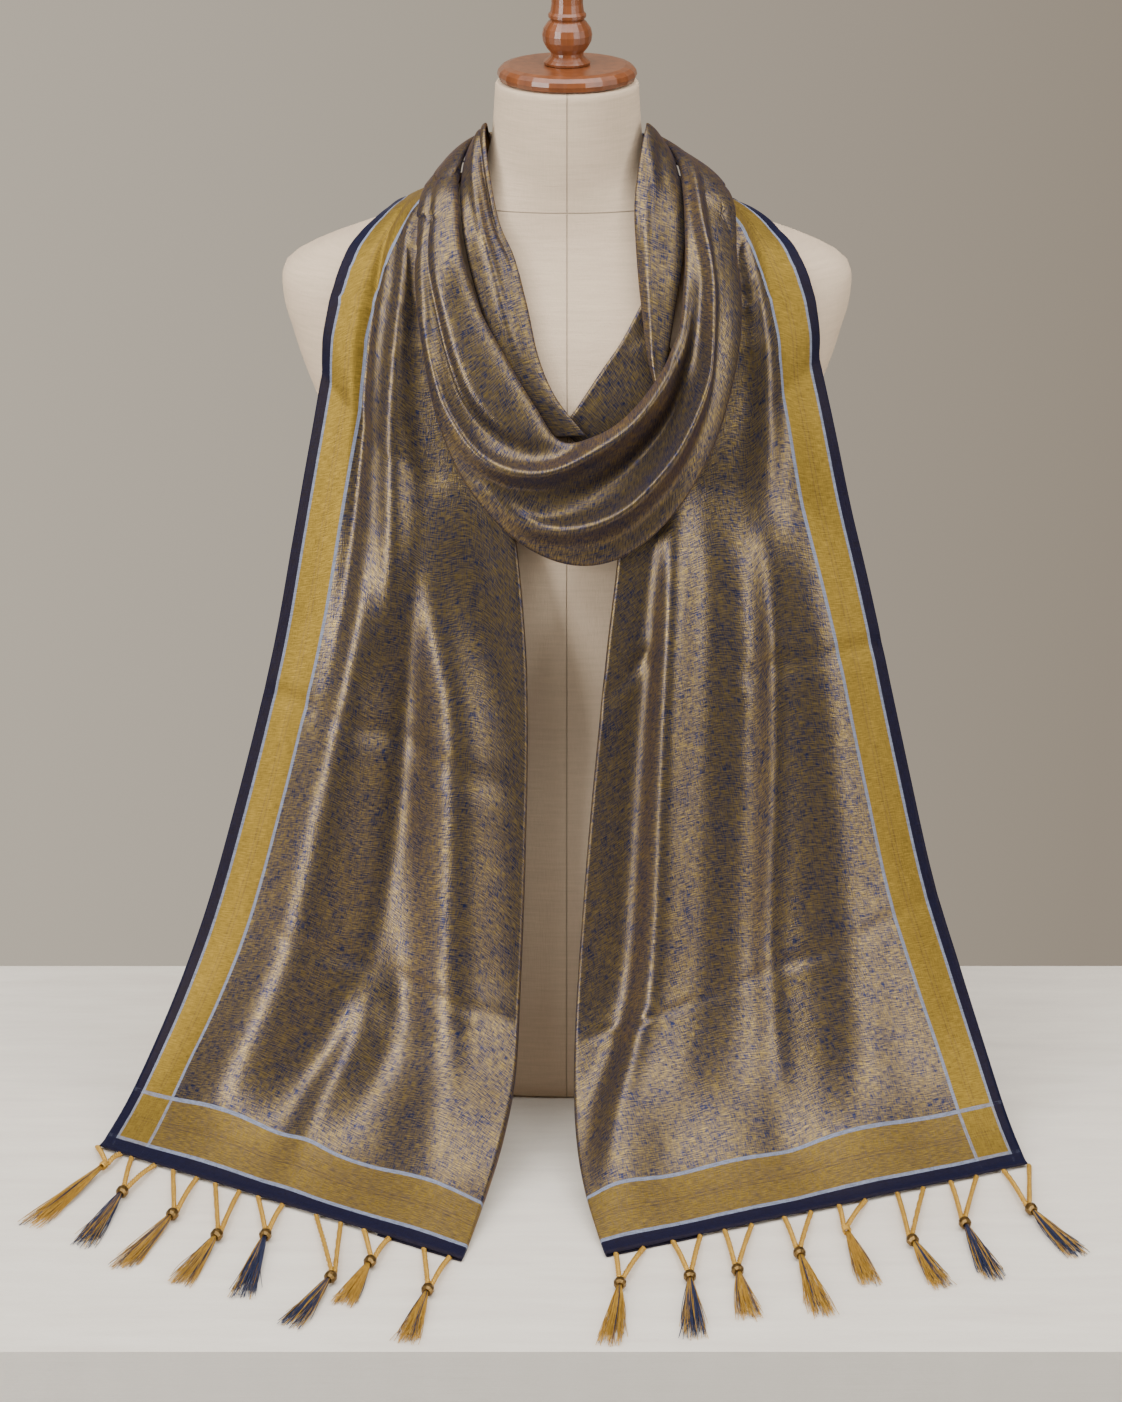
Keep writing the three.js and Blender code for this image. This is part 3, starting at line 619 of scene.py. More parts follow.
INNER_LEFT = Stretch(
    "inner_fold_left",
    (
        Section((-52, 50, 664), (-48, 46, 684), 2),
        Section((-67, 8, 699), (-56, -4, 722), 3),
        Section((-73, -34, 681), (-55, -30, 701), 4),
        Section((-72, -58, 656), (-48, -49, 664), 5),
        Section((-66, -72, 630), (-37, -61, 640), 5),
        Section((-56, -86, 600), (-28, -77, 610), 5),
        Section((-42, -98, 572), (-20, -93, 578), 4),
        Section((-28, -104, 552), (-8, -102, 552), 3, 0.4),
        Section((-8, -110, 526), (13, -108, 526), 1, 1.2),
    ),
    Profile.ROLL,
    side=1,
    clear=3.6,
    along_steps=120,
    across_steps=44,
    folds=(
        Fold("fine roll beside the neck", 0.12, ((1, 0.72, 0), (2.5, 0.5, 3), (4, 0.45, 3), (6, 0.4, 0))),
        Fold(
            "slit beside the strip",
            0.06,
            (
                (0.5, 0.8, 0), (2, 0.82, 3), (3, 0.86, 3), (4.5, 0.9, 0),
            ),
            sign=-1,
        ),
    ),
    map_from=(0.2, 1.0),
    seed=14,
    rumple=0.3,
    cut=(0.036, 0.277),
    rests_on=("dress_form", "neck_fold_right"),
)
INNER_RIGHT = Stretch(
    "inner_fold_right",
    (
        Section((52, 50, 664), (48, 46, 684), 2, 0),
        Section((69, 8, 699), (55, -6, 722), 3, 0),
        Section((78, -24, 684), (51, -30, 711), 5, 1),
        Section((82, -48, 660), (47, -46, 678), 5, 3),
        Section((80, -64, 638), (48, -57, 650), 5, 3),
        Section((76, -78, 616), (50, -70, 626), 5, 3),
        Section((72, -90, 594), (53, -83, 602), 4, 2),
        Section((68, -100, 572), (56, -94, 580), 3, 1),
        Section((66, -106, 554), (62, -101, 560), 2, 0),
    ),
    Profile.ROLL,
    side=-1,
    clear=3.6,
    along_steps=120,
    across_steps=44,
    folds=(
        Fold("crest beside the throat", 0.16, ((1, 0.75, 0), (3, 0.75, 3), (6, 0.7, 2), (8, 0.6, 0))),
        Fold("pinch", 0.2, ((1.2, 0.6, 0), (1.9, 0.6, 3), (2.6, 0.6, 0)), sign=-1),
    ),
    map_from=(0.2, 1.0),
    seed=15,
    rumple=0.3,
    cut=(0.04, 0.232),
    rests_on=("dress_form", "neck_fold_right"),
)
NECK_RIGHT = Stretch(
    "neck_fold_right",
    (
        Section((52, -72, 612), (74, -83, 578)),
        Section((38, -84, 588), (62, -93, 552)),
        Section((22, -92, 566), (48, -100, 530)),
        Section((6, -99, 543), (32, -104, 516)),
        Section((-4, -101, 530), (18, -106, 508)),
    ),
    Profile.FLAT,
    side=1,
    clear=1.2,
    along_steps=60,
    across_steps=16,
    map_from=(0.25, 1.2),
    seed=16,
    rumple=0.2,
    cut=(0.042, 0.101),
)
NAPE_OVER = Stretch(
    "nape_over",
    (
        Section((-68, 56, 680), (-54, 48, 702), 5, 6),
        Section((-42, 70, 672), (-31, 62, 702), 6, 8),
        Section((4, 78, 660), (3, 70, 696), 6, 8),
        Section((48, 75, 648), (34, 69, 684), 6, 8),
        Section((84, 67, 642), (54, 64, 672), 3, 3),
        Section((106, 58, 646), (64, 61, 664), 1, 0),
    ),
    Profile.ROLL,
    side=-1,
    clear=5,
    along_steps=110,
    across_steps=40,
    folds=(Fold("long fold", 0.14, ((0.2, 0.3, 0), (1.5, 0.35, 3), (3.5, 0.4, 3), (4.8, 0.5, 0)), sign=-1),),
    map_from=(0.25, 1.6),
    seed=17,
    cut=(0.048, 0.161),
    rests_on=("dress_form", "nape_under"),
)
NAPE_UNDER = Stretch(
    "nape_under",
    (
        Section((68, 56, 680), (54, 48, 702), 4, 5),
        Section((42, 62, 672), (31, 56, 702), 3, 2),
        Section((-4, 66, 660), (-3, 58, 696), 3, 0),
        Section((-48, 66, 648), (-34, 60, 684), 3, 0),
        Section((-84, 63, 642), (-54, 61, 672), 2, 0),
        Section((-106, 58, 646), (-64, 61, 664), 1, 0),
    ),
    Profile.ROLL,
    side=1,
    clear=4,
    along_steps=110,
    across_steps=40,
    map_from=(0.25, 1.6),
    seed=18,
    cut=(0.046, 0.155),
)


STOLE = Stole((LEFT_END, RIGHT_END, FRONT_LOOP, INNER_LEFT, INNER_RIGHT, NECK_RIGHT, NAPE_OVER, NAPE_UNDER))


# ---------------------------------------------------------------- finishes
Socket = bpy.types.NodeSocket
Colour = tuple[float, float, float]
Scale = tuple[float, float, float]


def srgb(red: int, green: int, blue: int) -> Colour:
    """Turns a display colour of 0 to 255 into the linear colour that a shader takes."""
    parts = (red, green, blue)
    return tuple(((c / 255 + 0.055) / 1.055) ** 2.4 if c > 10 else c / 255 / 12.92 for c in parts)


@dataclass
class Graph:
    """A node tree while it is wired up."""

    tree: bpy.types.NodeTree

    def add(self, kind: str, **settings: object) -> bpy.types.Node:
        """Adds a node.

        Args:
            kind: The node's type.
            settings: Values for its properties.

        Returns:
            The node.
        """
        node = self.tree.nodes.new(kind)
        for name, value in settings.items():
            setattr(node, name, value)
        return node

    def put(self, value: object, socket: Socket) -> None:
        """Links a socket, or sets a plain value, on an input.

        Args:
            value: The socket to link, or the value to set.
            socket: The input.
        """
        if isinstance(value, Socket):
            self.tree.links.new(value, socket)
        elif socket.type == "RGBA":
            socket.default_value = (*value, 1)
        else:
            socket.default_value = value

    def math(self, operation: str, *values: object, clamp: bool = False) -> Socket:
        """Adds a Math node.

        Args:
            operation: What it does.
            values: Its inputs, each a socket or a number.
            clamp: Whether the result is kept from 0 to 1.

        Returns:
            Its result.
        """
        node = self.add("ShaderNodeMath", operation=operation, use_clamp=clamp)
        for value, socket in zip(values, node.inputs):
            self.put(value, socket)
        return node.outputs[0]

    def mix(self, share: object, first: object, second: object) -> Socket:
        """Mixes two colours.

        Args:
            share: How much of the second shows.
            first: The colour at 0.
            second: The colour at 1.

        Returns:
            The mixed colour.
        """
        node = self.add("ShaderNodeMix", data_type="RGBA")
        self.put(share, node.inputs["Factor"])
        self.put(first, node.inputs[6])
        self.put(second, node.inputs[7])
        return node.outputs[2]

    def dim(self, colour: Socket, amount: Socket) -> Socket:
        """Scales a colour.

        Args:
            colour: The colour.
            amount: What it is multiplied by.

        Returns:
            The scaled colour.
        """
        node = self.add("ShaderNodeVectorMath", operation="SCALE")
        self.put(colour, node.inputs[0])
        self.put(amount, node.inputs["Scale"])
        return node.outputs[0]

    def cells(self, vector: Socket, scale: object, detail: object) -> Socket:
        """Adds noise in cells that are stretched along each axis.

        Args:
            vector: Where it is read.
            scale: Cells a metre along each axis.
            detail: Levels of finer noise in it.

        Returns:
            A value round about 0.5.
        """
        mapping = self.add("ShaderNodeMapping")
        self.put(vector, mapping.inputs["Vector"])
        self.put(scale, mapping.inputs["Scale"])
        node = self.add("ShaderNodeTexNoise")
        self.put(mapping.outputs[0], node.inputs["Vector"])
        self.put(1.0, node.inputs["Scale"])
        self.put(detail, node.inputs["Detail"])
        return node.outputs["Fac"]

    def noise(self, vector: Socket, scale: Scale, detail: float = 2) -> Socket:
        """Places the shared stretched noise, with this finish's own values.

        Args:
            vector: Where it is read.
            scale: Cells a metre along each axis.
            detail: Levels of finer noise in it.

        Returns:
            A value round about 0.5.
        """
        node = self.add("ShaderNodeGroup", node_tree=STRETCHED_NOISE.shared())
        self.put(vector, node.inputs["Vector"])
        self.put(scale, node.inputs["Scale"])
        self.put(detail, node.inputs["Detail"])
        return node.outputs["Value"]

    def steps(self, place: Socket, stops: list[tuple[float, Colour, float]]) -> tuple[Socket, Socket]:
        """Adds a ramp of plain bands.

        Args:
            place: A place from 0 to 1.
            stops: Each band's start, colour and share of metal.

        Returns:
            The colour, and how metallic it is, of the band that the place falls in.
        """
        node = self.add("ShaderNodeValToRGB")
        ramp = node.color_ramp
        ramp.interpolation = "CONSTANT"
        for index, (start, colour, metal) in enumerate(stops):
            stop = ramp.elements[0] if index == 0 else ramp.elements.new(start)
            stop.position = start
            stop.color = (*colour, metal)
        ramp.elements.remove(ramp.elements[-1])
        self.put(place, node.inputs["Fac"])
        return node.outputs["Color"], node.outputs["Alpha"]


@dataclass(frozen=True)
class Effect:
    """A shader node group that more than one finish uses, built once."""

    name: str
    inputs: tuple[tuple[str, str], ...]
    outputs: tuple[str, ...]

    def shared(self) -> bpy.types.NodeTree:
        """Gives the group, and builds it the first time."""
        return bpy.data.node_groups.get(self.name) or self.make()

    def make(self) -> bpy.types.NodeTree:
        """Builds the group with its named sockets.

        Returns:
            The group.
        """
        tree = bpy.data.node_groups.new(self.name, "ShaderNodeTree")
        for name, kind in self.inputs:
            tree.interface.new_socket(name=name, in_out="INPUT", socket_type=kind)
        for name in self.outputs:
            tree.interface.new_socket(name=name, in_out="OUTPUT", socket_type="NodeSocketFloat")
        graph = Graph(tree)
        self.wire(graph, graph.add("NodeGroupInput"), graph.add("NodeGroupOutput"))
        return tree

    def wire(self, graph: Graph, inner: bpy.types.Node, outer: bpy.types.Node) -> None:
        """Fills the group in, which each effect does in its own way."""
        raise NotImplementedError


@dataclass(frozen=True)
class StretchedNoise(Effect):
    """Noise with its own scale along each axis, for threads, grain and tarnish."""

    name: str = "stretched_noise"
    inputs: tuple[tuple[str, str], ...] = (
        ("Vector", "NodeSocketVector"),
        ("Scale", "NodeSocketVector"),
        ("Detail", "NodeSocketFloat"),
    )
    outputs: tuple[str, ...] = ("Value",)

    def wire(self, graph: Graph, inner: bpy.types.Node, outer: bpy.types.Node) -> None:
        """Wires the group's inputs through the noise to its output."""
        value = graph.cells(*(inner.outputs[name] for name, _ in self.inputs))
        graph.put(value, outer.inputs["Value"])


@dataclass(frozen=True)
class PlainWeave(Effect):
    """A plain weave: level and upright threads, and the slubs that tint them."""

    name: str = "plain_weave"
    inputs: tuple[tuple[str, str], ...] = (("Vector", "NodeSocketVector"),)
    outputs: tuple[str, ...] = ("Weave", "Tone")
    level: Scale = (90, 90, 1100)
    upright: Scale = (1100, 1100, 90)
    slubs: Scale = (30, 30, 420)

    def wire(self, graph: Graph, inner: bpy.types.Node, outer: bpy.types.Node) -> None:
        """Wires the threads to the weave's height, and with the slubs to its tone.

        Args:
            graph: The group's own graph.
            inner: The node that hands the group's inputs in.
            outer: The node that takes its outputs.
        """
        place = inner.outputs["Vector"]
        level = graph.cells(place, self.level, 2)
        upright = graph.cells(place, self.upright, 2)
        weave = graph.math("MULTIPLY", graph.math("ADD", level, upright), 0.5)
        slub = graph.cells(place, self.slubs, 3)
        graph.put(weave, outer.inputs["Weave"])
        graph.put(graph.math("MULTIPLY", graph.math("ADD", weave, slub), 0.5), outer.inputs["Tone"])


STRETCHED_NOISE = StretchedNoise()
PLAIN_WEAVE = PlainWeave()


@dataclass
class Material:
    """A Principled material with its graph and its bump."""

    name: str
    roughness: float = 0.6
    metallic: float = 0.0
    data: bpy.types.Material | None = field(default=None, init=False, repr=False)

    def start(self) -> tuple[Graph, bpy.types.Node]:
        """Makes the material's tree, with its shader's plain values set.

        Returns:
            The tree's graph and its shader.
        """
        self.data = bpy.data.materials.new(self.name)
        self.data.use_nodes = True
        graph = Graph(self.data.node_tree)
        shader = self.data.node_tree.nodes["Principled BSDF"]
        shader.inputs["Roughness"].default_value = self.roughness
        shader.inputs["Metallic"].default_value = self.metallic
        return graph, shader

    @staticmethod
    def bump(graph: Graph, shader: bpy.types.Node, height: Socket, depth: float, strength: float) -> None:
        """Drives the shader's normal with a height.

        Args:
            graph: The material's graph.
            shader: Its shader.
            height: The height, from 0 to 1.
            depth: How deep that is, in metres.
            strength: How much of it shows.
        """
        node = graph.add("ShaderNodeBump")
        node.inputs["Distance"].default_value = depth
        node.inputs["Strength"].default_value = strength
        graph.put(height, node.inputs["Height"])
        graph.put(node.outputs[0], shader.inputs["Normal"])


@dataclass(frozen=True)
class Band:
    """A run of one yarn, from a distance in mm off the cloth's edge, and how much it covers."""

    start: float
    colour: Colour
    cover: float
    metal: float = 0.0


NAVY = srgb(12, 16, 40)
SLATE = srgb(29, 40, 74)
GOLD = srgb(126, 102, 42)
PALE = srgb(118, 124, 142)
DARK = srgb(112, 90, 46)
BODY_GOLD = srgb(178, 148, 62)
GOLD_COVER, GOLD_METAL = 2.4, 0.45
DARK_COVER, DARK_METAL = 2, 0.6
PALE_COVER = 6
FULL_COVER = 100


def stripe(width: float, lines: tuple[float, ...], end: float) -> tuple[Band, ...]:
    """Gives a gold border with fine dark lines in it, between two pale ones.

    Args:
        width: Where the first pale line starts.
        lines: Where the gold and each dark line in it starts, in turn.
        end: Where the second pale line starts.

    Returns:
        The border's bands.
    """
    bands = [Band(width, PALE, PALE_COVER)]
    for number, start in enumerate(lines):
        gold = number % 2 == 0
        kind = (GOLD, GOLD_COVER, GOLD_METAL) if gold else (DARK, DARK_COVER, DARK_METAL)
        bands.append(Band(start, *kind))
    return (*bands, Band(end, PALE, PALE_COVER))


WARP_BANDS = (Band(0, NAVY, 40), *stripe(8, (10, 21, 22, 24, 25), 35), Band(37.5, SLATE, 1, 0.6))
WEFT_BANDS = (Band(0, NAVY, 60), *stripe(13, (16, 34, 35, 37, 38), 56), Band(59, BODY_GOLD, 0.45, 1))


@dataclass
class Silk(Material):
    """Silk woven of a striped warp and a striped weft, with metallic gold yarn."""

    name: str = "woven_silk"
    roughness: float = 0.36
    span: float = 64.0
    contrast: float = 0.9
    crisp: float = 1.3
    border_roughness: float = 0.5
    lying: Scale = (170, 1150, 1)
    standing: Scale = (1150, 170, 1)
    patches: Scale = (55, 55, 1)
    patchiness: float = 0.3
    specular: float = 0.25
    edge_tint: Colour = srgb(206, 172, 104)
    sheen: float = 0.12
    sheen_tint: Colour = srgb(90, 104, 170)
    bump_depth: float = 0.0003
    bump_strength: float = 0.45

    def yarns(self, graph: Graph, distance: Socket, bands: tuple[Band, ...]) -> tuple[Socket, ...]:
        """Reads one set of yarns.

        Args:
            graph: The material's graph.
            distance: Distance off the cloth's edge, in metres.
            bands: The set's bands.

        Returns:
            The yarn's colour, how metallic it is and how much it covers.
        """
        place = graph.math("MULTIPLY", distance, 1 / (self.span * MM), clamp=True)
        colours = [(band.start / self.span, band.colour, band.metal) for band in bands]
        covers = [(band.start / self.span, (band.cover / FULL_COVER,) * 3, 1) for band in bands]
        colour, metal = graph.steps(place, colours)
        return colour, metal, graph.steps(place, covers)[0]

    def make(self) -> bpy.types.Material:
        """Builds the silk.

        Returns:
            The material.
        """
        graph, shader = self.start()
        plane = graph.add("ShaderNodeUVMap", uv_map=CLOTH_MAP).outputs[0]
        split = graph.add("ShaderNodeSeparateXYZ")
        graph.put(plane, split.inputs[0])
        warp, warp_metal, warp_cover = self.yarns(graph, split.outputs[0], WARP_BANDS)
        weft, weft_metal, weft_cover = self.yarns(graph, split.outputs[1], WEFT_BANDS)
        lying = graph.noise(plane, self.lying)
        standing = graph.noise(plane, self.standing)
        patch = graph.noise(plane, self.patches)
        even = graph.math("DIVIDE", weft_cover, graph.math("ADD", warp_cover, weft_cover))
        dash = graph.math("MULTIPLY", graph.math("SUBTRACT", lying, standing), self.contrast)
        cloud = graph.math("MULTIPLY", graph.math("SUBTRACT", patch, 0.5), self.patchiness)
        rest = graph.math("SUBTRACT", 1.0, even)
        open_weave = graph.math("MULTIPLY", graph.math("MULTIPLY", even, rest), 4.0)
        change = graph.math("MULTIPLY", graph.math("ADD", dash, cloud), open_weave)
        share = graph.math("SUBTRACT", graph.math("ADD", even, change), 0.5)
        on_top = graph.math("ADD", graph.math("MULTIPLY", share, self.crisp), 0.5, clamp=True)
        thread = graph.math("ADD", lying, standing)
        graph.put(graph.dim(graph.mix(on_top, warp, weft), thread), shader.inputs["Base Color"])
        weft_part = graph.math("MULTIPLY", on_top, weft_metal)
        warp_part = graph.math("MULTIPLY", graph.math("SUBTRACT", 1.0, on_top), warp_metal)
        graph.put(graph.math("ADD", weft_part, warp_part, clamp=True), shader.inputs["Metallic"])
        inside = graph.math("GREATER_THAN", split.outputs[0], WARP_BANDS[-1].start * MM)
        beyond = graph.math("GREATER_THAN", split.outputs[1], WEFT_BANDS[-1].start * MM)
        body = graph.math("MULTIPLY", inside, beyond)
        smoother = graph.math("MULTIPLY", body, self.border_roughness - self.roughness)
        graph.put(graph.math("SUBTRACT", self.border_roughness, smoother), shader.inputs["Roughness"])
        shader.inputs["Specular IOR Level"].default_value = self.specular
        shader.inputs["Specular Tint"].default_value = (*self.edge_tint, 1)
        shader.inputs["Sheen Weight"].default_value = self.sheen
        shader.inputs["Sheen Tint"].default_value = (*self.sheen_tint, 1)
        self.bump(graph, shader, thread, self.bump_depth, self.bump_strength)
        return self.data


@dataclass
class Linen(Material):
    """Plain woven linen, with the form's seams down the middle and round the neck if it is seamed."""

    name: str = "form_linen"
    roughness: float = 0.9
    colour: Colour = srgb(214, 190, 162)
    low_tone: float = 0.66
    high_tone: float = 1.12
    seamed: bool = True
    seam_width: float = 0.7
    seam_tone: float = 0.5
    seam_depth: float = 2.0
    neck_seam: float = 669.0
    bump_depth: float = 0.0006
    bump_strength: float = 0.6

    def toned(self, amount: float) -> Colour:
        """Gives the linen's colour, lighter or darker."""
        return tuple(min(1, part * amount) for part in self.colour)

    def make(self) -> bpy.types.Material:
        """Builds the linen.

        Returns:
            The material.
        """
        graph, shader = self.start()
        place = graph.add("ShaderNodeTexCoord").outputs["Object"]
        effect = graph.add("ShaderNodeGroup", node_tree=PLAIN_WEAVE.shared())
        graph.put(place, effect.inputs["Vector"])
        height = effect.outputs["Weave"]
        cloth = graph.mix(effect.outputs["Tone"], self.toned(self.low_tone), self.toned(self.high_tone))
        if self.seamed:
            split = graph.add("ShaderNodeSeparateXYZ")
            graph.put(place, split.inputs[0])
            aside = graph.math("ABSOLUTE", split.outputs[0])
            above = graph.math("ABSOLUTE", graph.math("SUBTRACT", split.outputs[2], self.neck_seam * MM))
            near = graph.math("MINIMUM", aside, above)
            flat = graph.math("DIVIDE", near, self.seam_width * MM, clamp=True)
            cloth = graph.mix(flat, self.toned(self.seam_tone), cloth)
            height = graph.math("ADD", height, graph.math("MULTIPLY", flat, self.seam_depth))
        graph.put(cloth, shader.inputs["Base Color"])
        self.bump(graph, shader, height, self.bump_depth, self.bump_strength)
        return self.data


@dataclass
class Wood(Material):
    """Turned wood under satin varnish, its grain along the height."""

    name: str = "turned_wood"
    roughness: float = 0.32
    dark: Colour = srgb(74, 36, 16)
    light: Colour = srgb(146, 84, 46)
    grain: Scale = (160, 160, 9)
    varnish: float = 0.4
    varnish_roughness: float = 0.2
    bump_depth: float = 0.0003
    bump_strength: float = 0.2

    def make(self) -> bpy.types.Material:
        """Builds the wood.

        Returns:
            The material.
        """
        graph, shader = self.start()
        place = graph.add("ShaderNodeTexCoord").outputs["Object"]
        grain = graph.noise(place, self.grain, 4)
        graph.put(graph.mix(grain, self.dark, self.light), shader.inputs["Base Color"])
        shader.inputs["Coat Weight"].default_value = self.varnish
        shader.inputs["Coat Roughness"].default_value = self.varnish_roughness
        self.bump(graph, shader, grain, self.bump_depth, self.bump_strength)
        return self.data


@dataclass
class Brass(Material):
    """Dark antique brass."""

    name: str = "antique_brass"
    roughness: float = 0.38
    metallic: float = 0.9
    dark: Colour = srgb(58, 44, 26)
    light: Colour = srgb(150, 118, 66)
    tarnish: Scale = (400, 400, 400)
    bump_depth: float = 0.0004
    bump_strength: float = 0.4

    def make(self) -> bpy.types.Material:
        """Builds the brass.

        Returns:
            The material.
        """
        graph, shader = self.start()
        place = graph.add("ShaderNodeTexCoord").outputs["Object"]
        tarnish = graph.noise(place, self.tarnish, 3)
        graph.put(graph.mix(tarnish, self.dark, self.light), shader.inputs["Base Color"])
        self.bump(graph, shader, tarnish, self.bump_depth, self.bump_strength)
        return self.data


@dataclass
class Yarn(Material):
    """Loose silk yarn, streaked with a second colour."""

    name: str = "yarn"
    roughness: float = 0.5
    metallic: float = 0.5
    main: Colour = GOLD
    streak: Colour = DARK
    streaks: Scale = (700, 180, 700)

    def make(self) -> bpy.types.Material:
        """Builds the yarn.

        Returns:
            The material.
        """
        graph, shader = self.start()
        place = graph.add("ShaderNodeTexCoord").outputs["Object"]
        tone = graph.noise(place, self.streaks, 1)
        graph.put(graph.mix(tone, self.streak, self.main), shader.inputs["Base Color"])
        return self.data


# ---------------------------------------------------------------- tassels
@dataclass(frozen=True)
class Tassel:
    """One tassel: its place along the hem, its bead and its tip on the table in mm, and its yarn."""

    end: str
    root: float
    bead: tuple[float, float]
    tip: tuple[float, float]
    navy: bool = False
    beaded: bool = True


TASSELS = (
    Tassel("left", 0.03, (-336, -210), (-379, -289), beaded=False),
    Tassel("left", 0.13, (-318, -247), (-339, -316), navy=True),
    Tassel("left", 0.25, (-279, -278), (-309, -346)),
    Tassel("left", 0.37, (-245, -306), (-266, -365)),
    Tassel("left", 0.49, (-211, -306), (-222, -383), navy=True),
    Tassel("left", 0.65, (-162, -361), (-187, -418), navy=True),
    Tassel("left", 0.78, (-136, -341), (-153, -392)),
    Tassel("left", 0.94, (-95, -377), (-108, -438)),
    Tassel("right", 0.03, (329, -271), (356, -329), navy=True),
    Tassel("right", 0.16, (280, -290), (293, -359), navy=True),
    Tassel("right", 0.29, (241, -313), (258, -370)),
    Tassel("right", 0.43, (196, -300), (208, -366), beaded=False),
    Tassel("right", 0.56, (161, -330), (173, -406)),
    Tassel("right", 0.70, (117, -352), (123, -410)),
    Tassel("right", 0.82, (84, -360), (85, -432), navy=True),
    Tassel("right", 0.95, (36, -369), (28, -440)),
)


def tubes(name: str, runs: list[tuple[np.ndarray, np.ndarray, int]], sides: int) -> bpy.types.Object:
    """Makes one piece of many closed round strands.

    Args:
        name: The piece's name.
        runs: For each strand, its points, its radius at each and its material's number.
        sides: Corners of a strand's section.

    Returns:
        The piece.
    """
    points, faces, finishes = [], [], []
    angle = np.linspace(0, 2 * math.pi, sides, endpoint=False)
    for path, radius, finish in runs:
        along = unit(np.gradient(path, axis=0))
        side = unit(np.cross(along, np.array([0.02, 0.05, 1.0])))
        up = np.cross(side, along)
        ring = side[:, None] * np.cos(angle)[:, None] + up[:, None] * np.sin(angle)[:, None]
        start = sum(len(p) for p in points)
        points.append((path[:, None] + ring * radius[:, None, None]).reshape(-1, 3))
        for row in range(len(path) - 1):
            for k in range(sides):
                a, b = start + row * sides + k, start + row * sides + (k + 1) % sides
                faces.append((a, a + sides, b + sides, b))
        last = start + (len(path) - 1) * sides
        faces.append(tuple(range(start, start + sides)))
        faces.append(tuple(range(last + sides - 1, last - 1, -1)))
        finishes += [finish] * (len(faces) - len(finishes))
    mesh = bpy.data.meshes.new(name)
    mesh.from_pydata(np.concatenate(points).tolist(), [], faces)
    mesh.polygons.foreach_set("material_index", finishes)
    mesh.update()
    mesh.shade_smooth()
    piece = bpy.data.objects.new(name, mesh)
    bpy.context.scene.collection.objects.link(piece)
    return piece


Strand = tuple[np.ndarray, np.ndarray]  # a yarn's points, and its radius at each


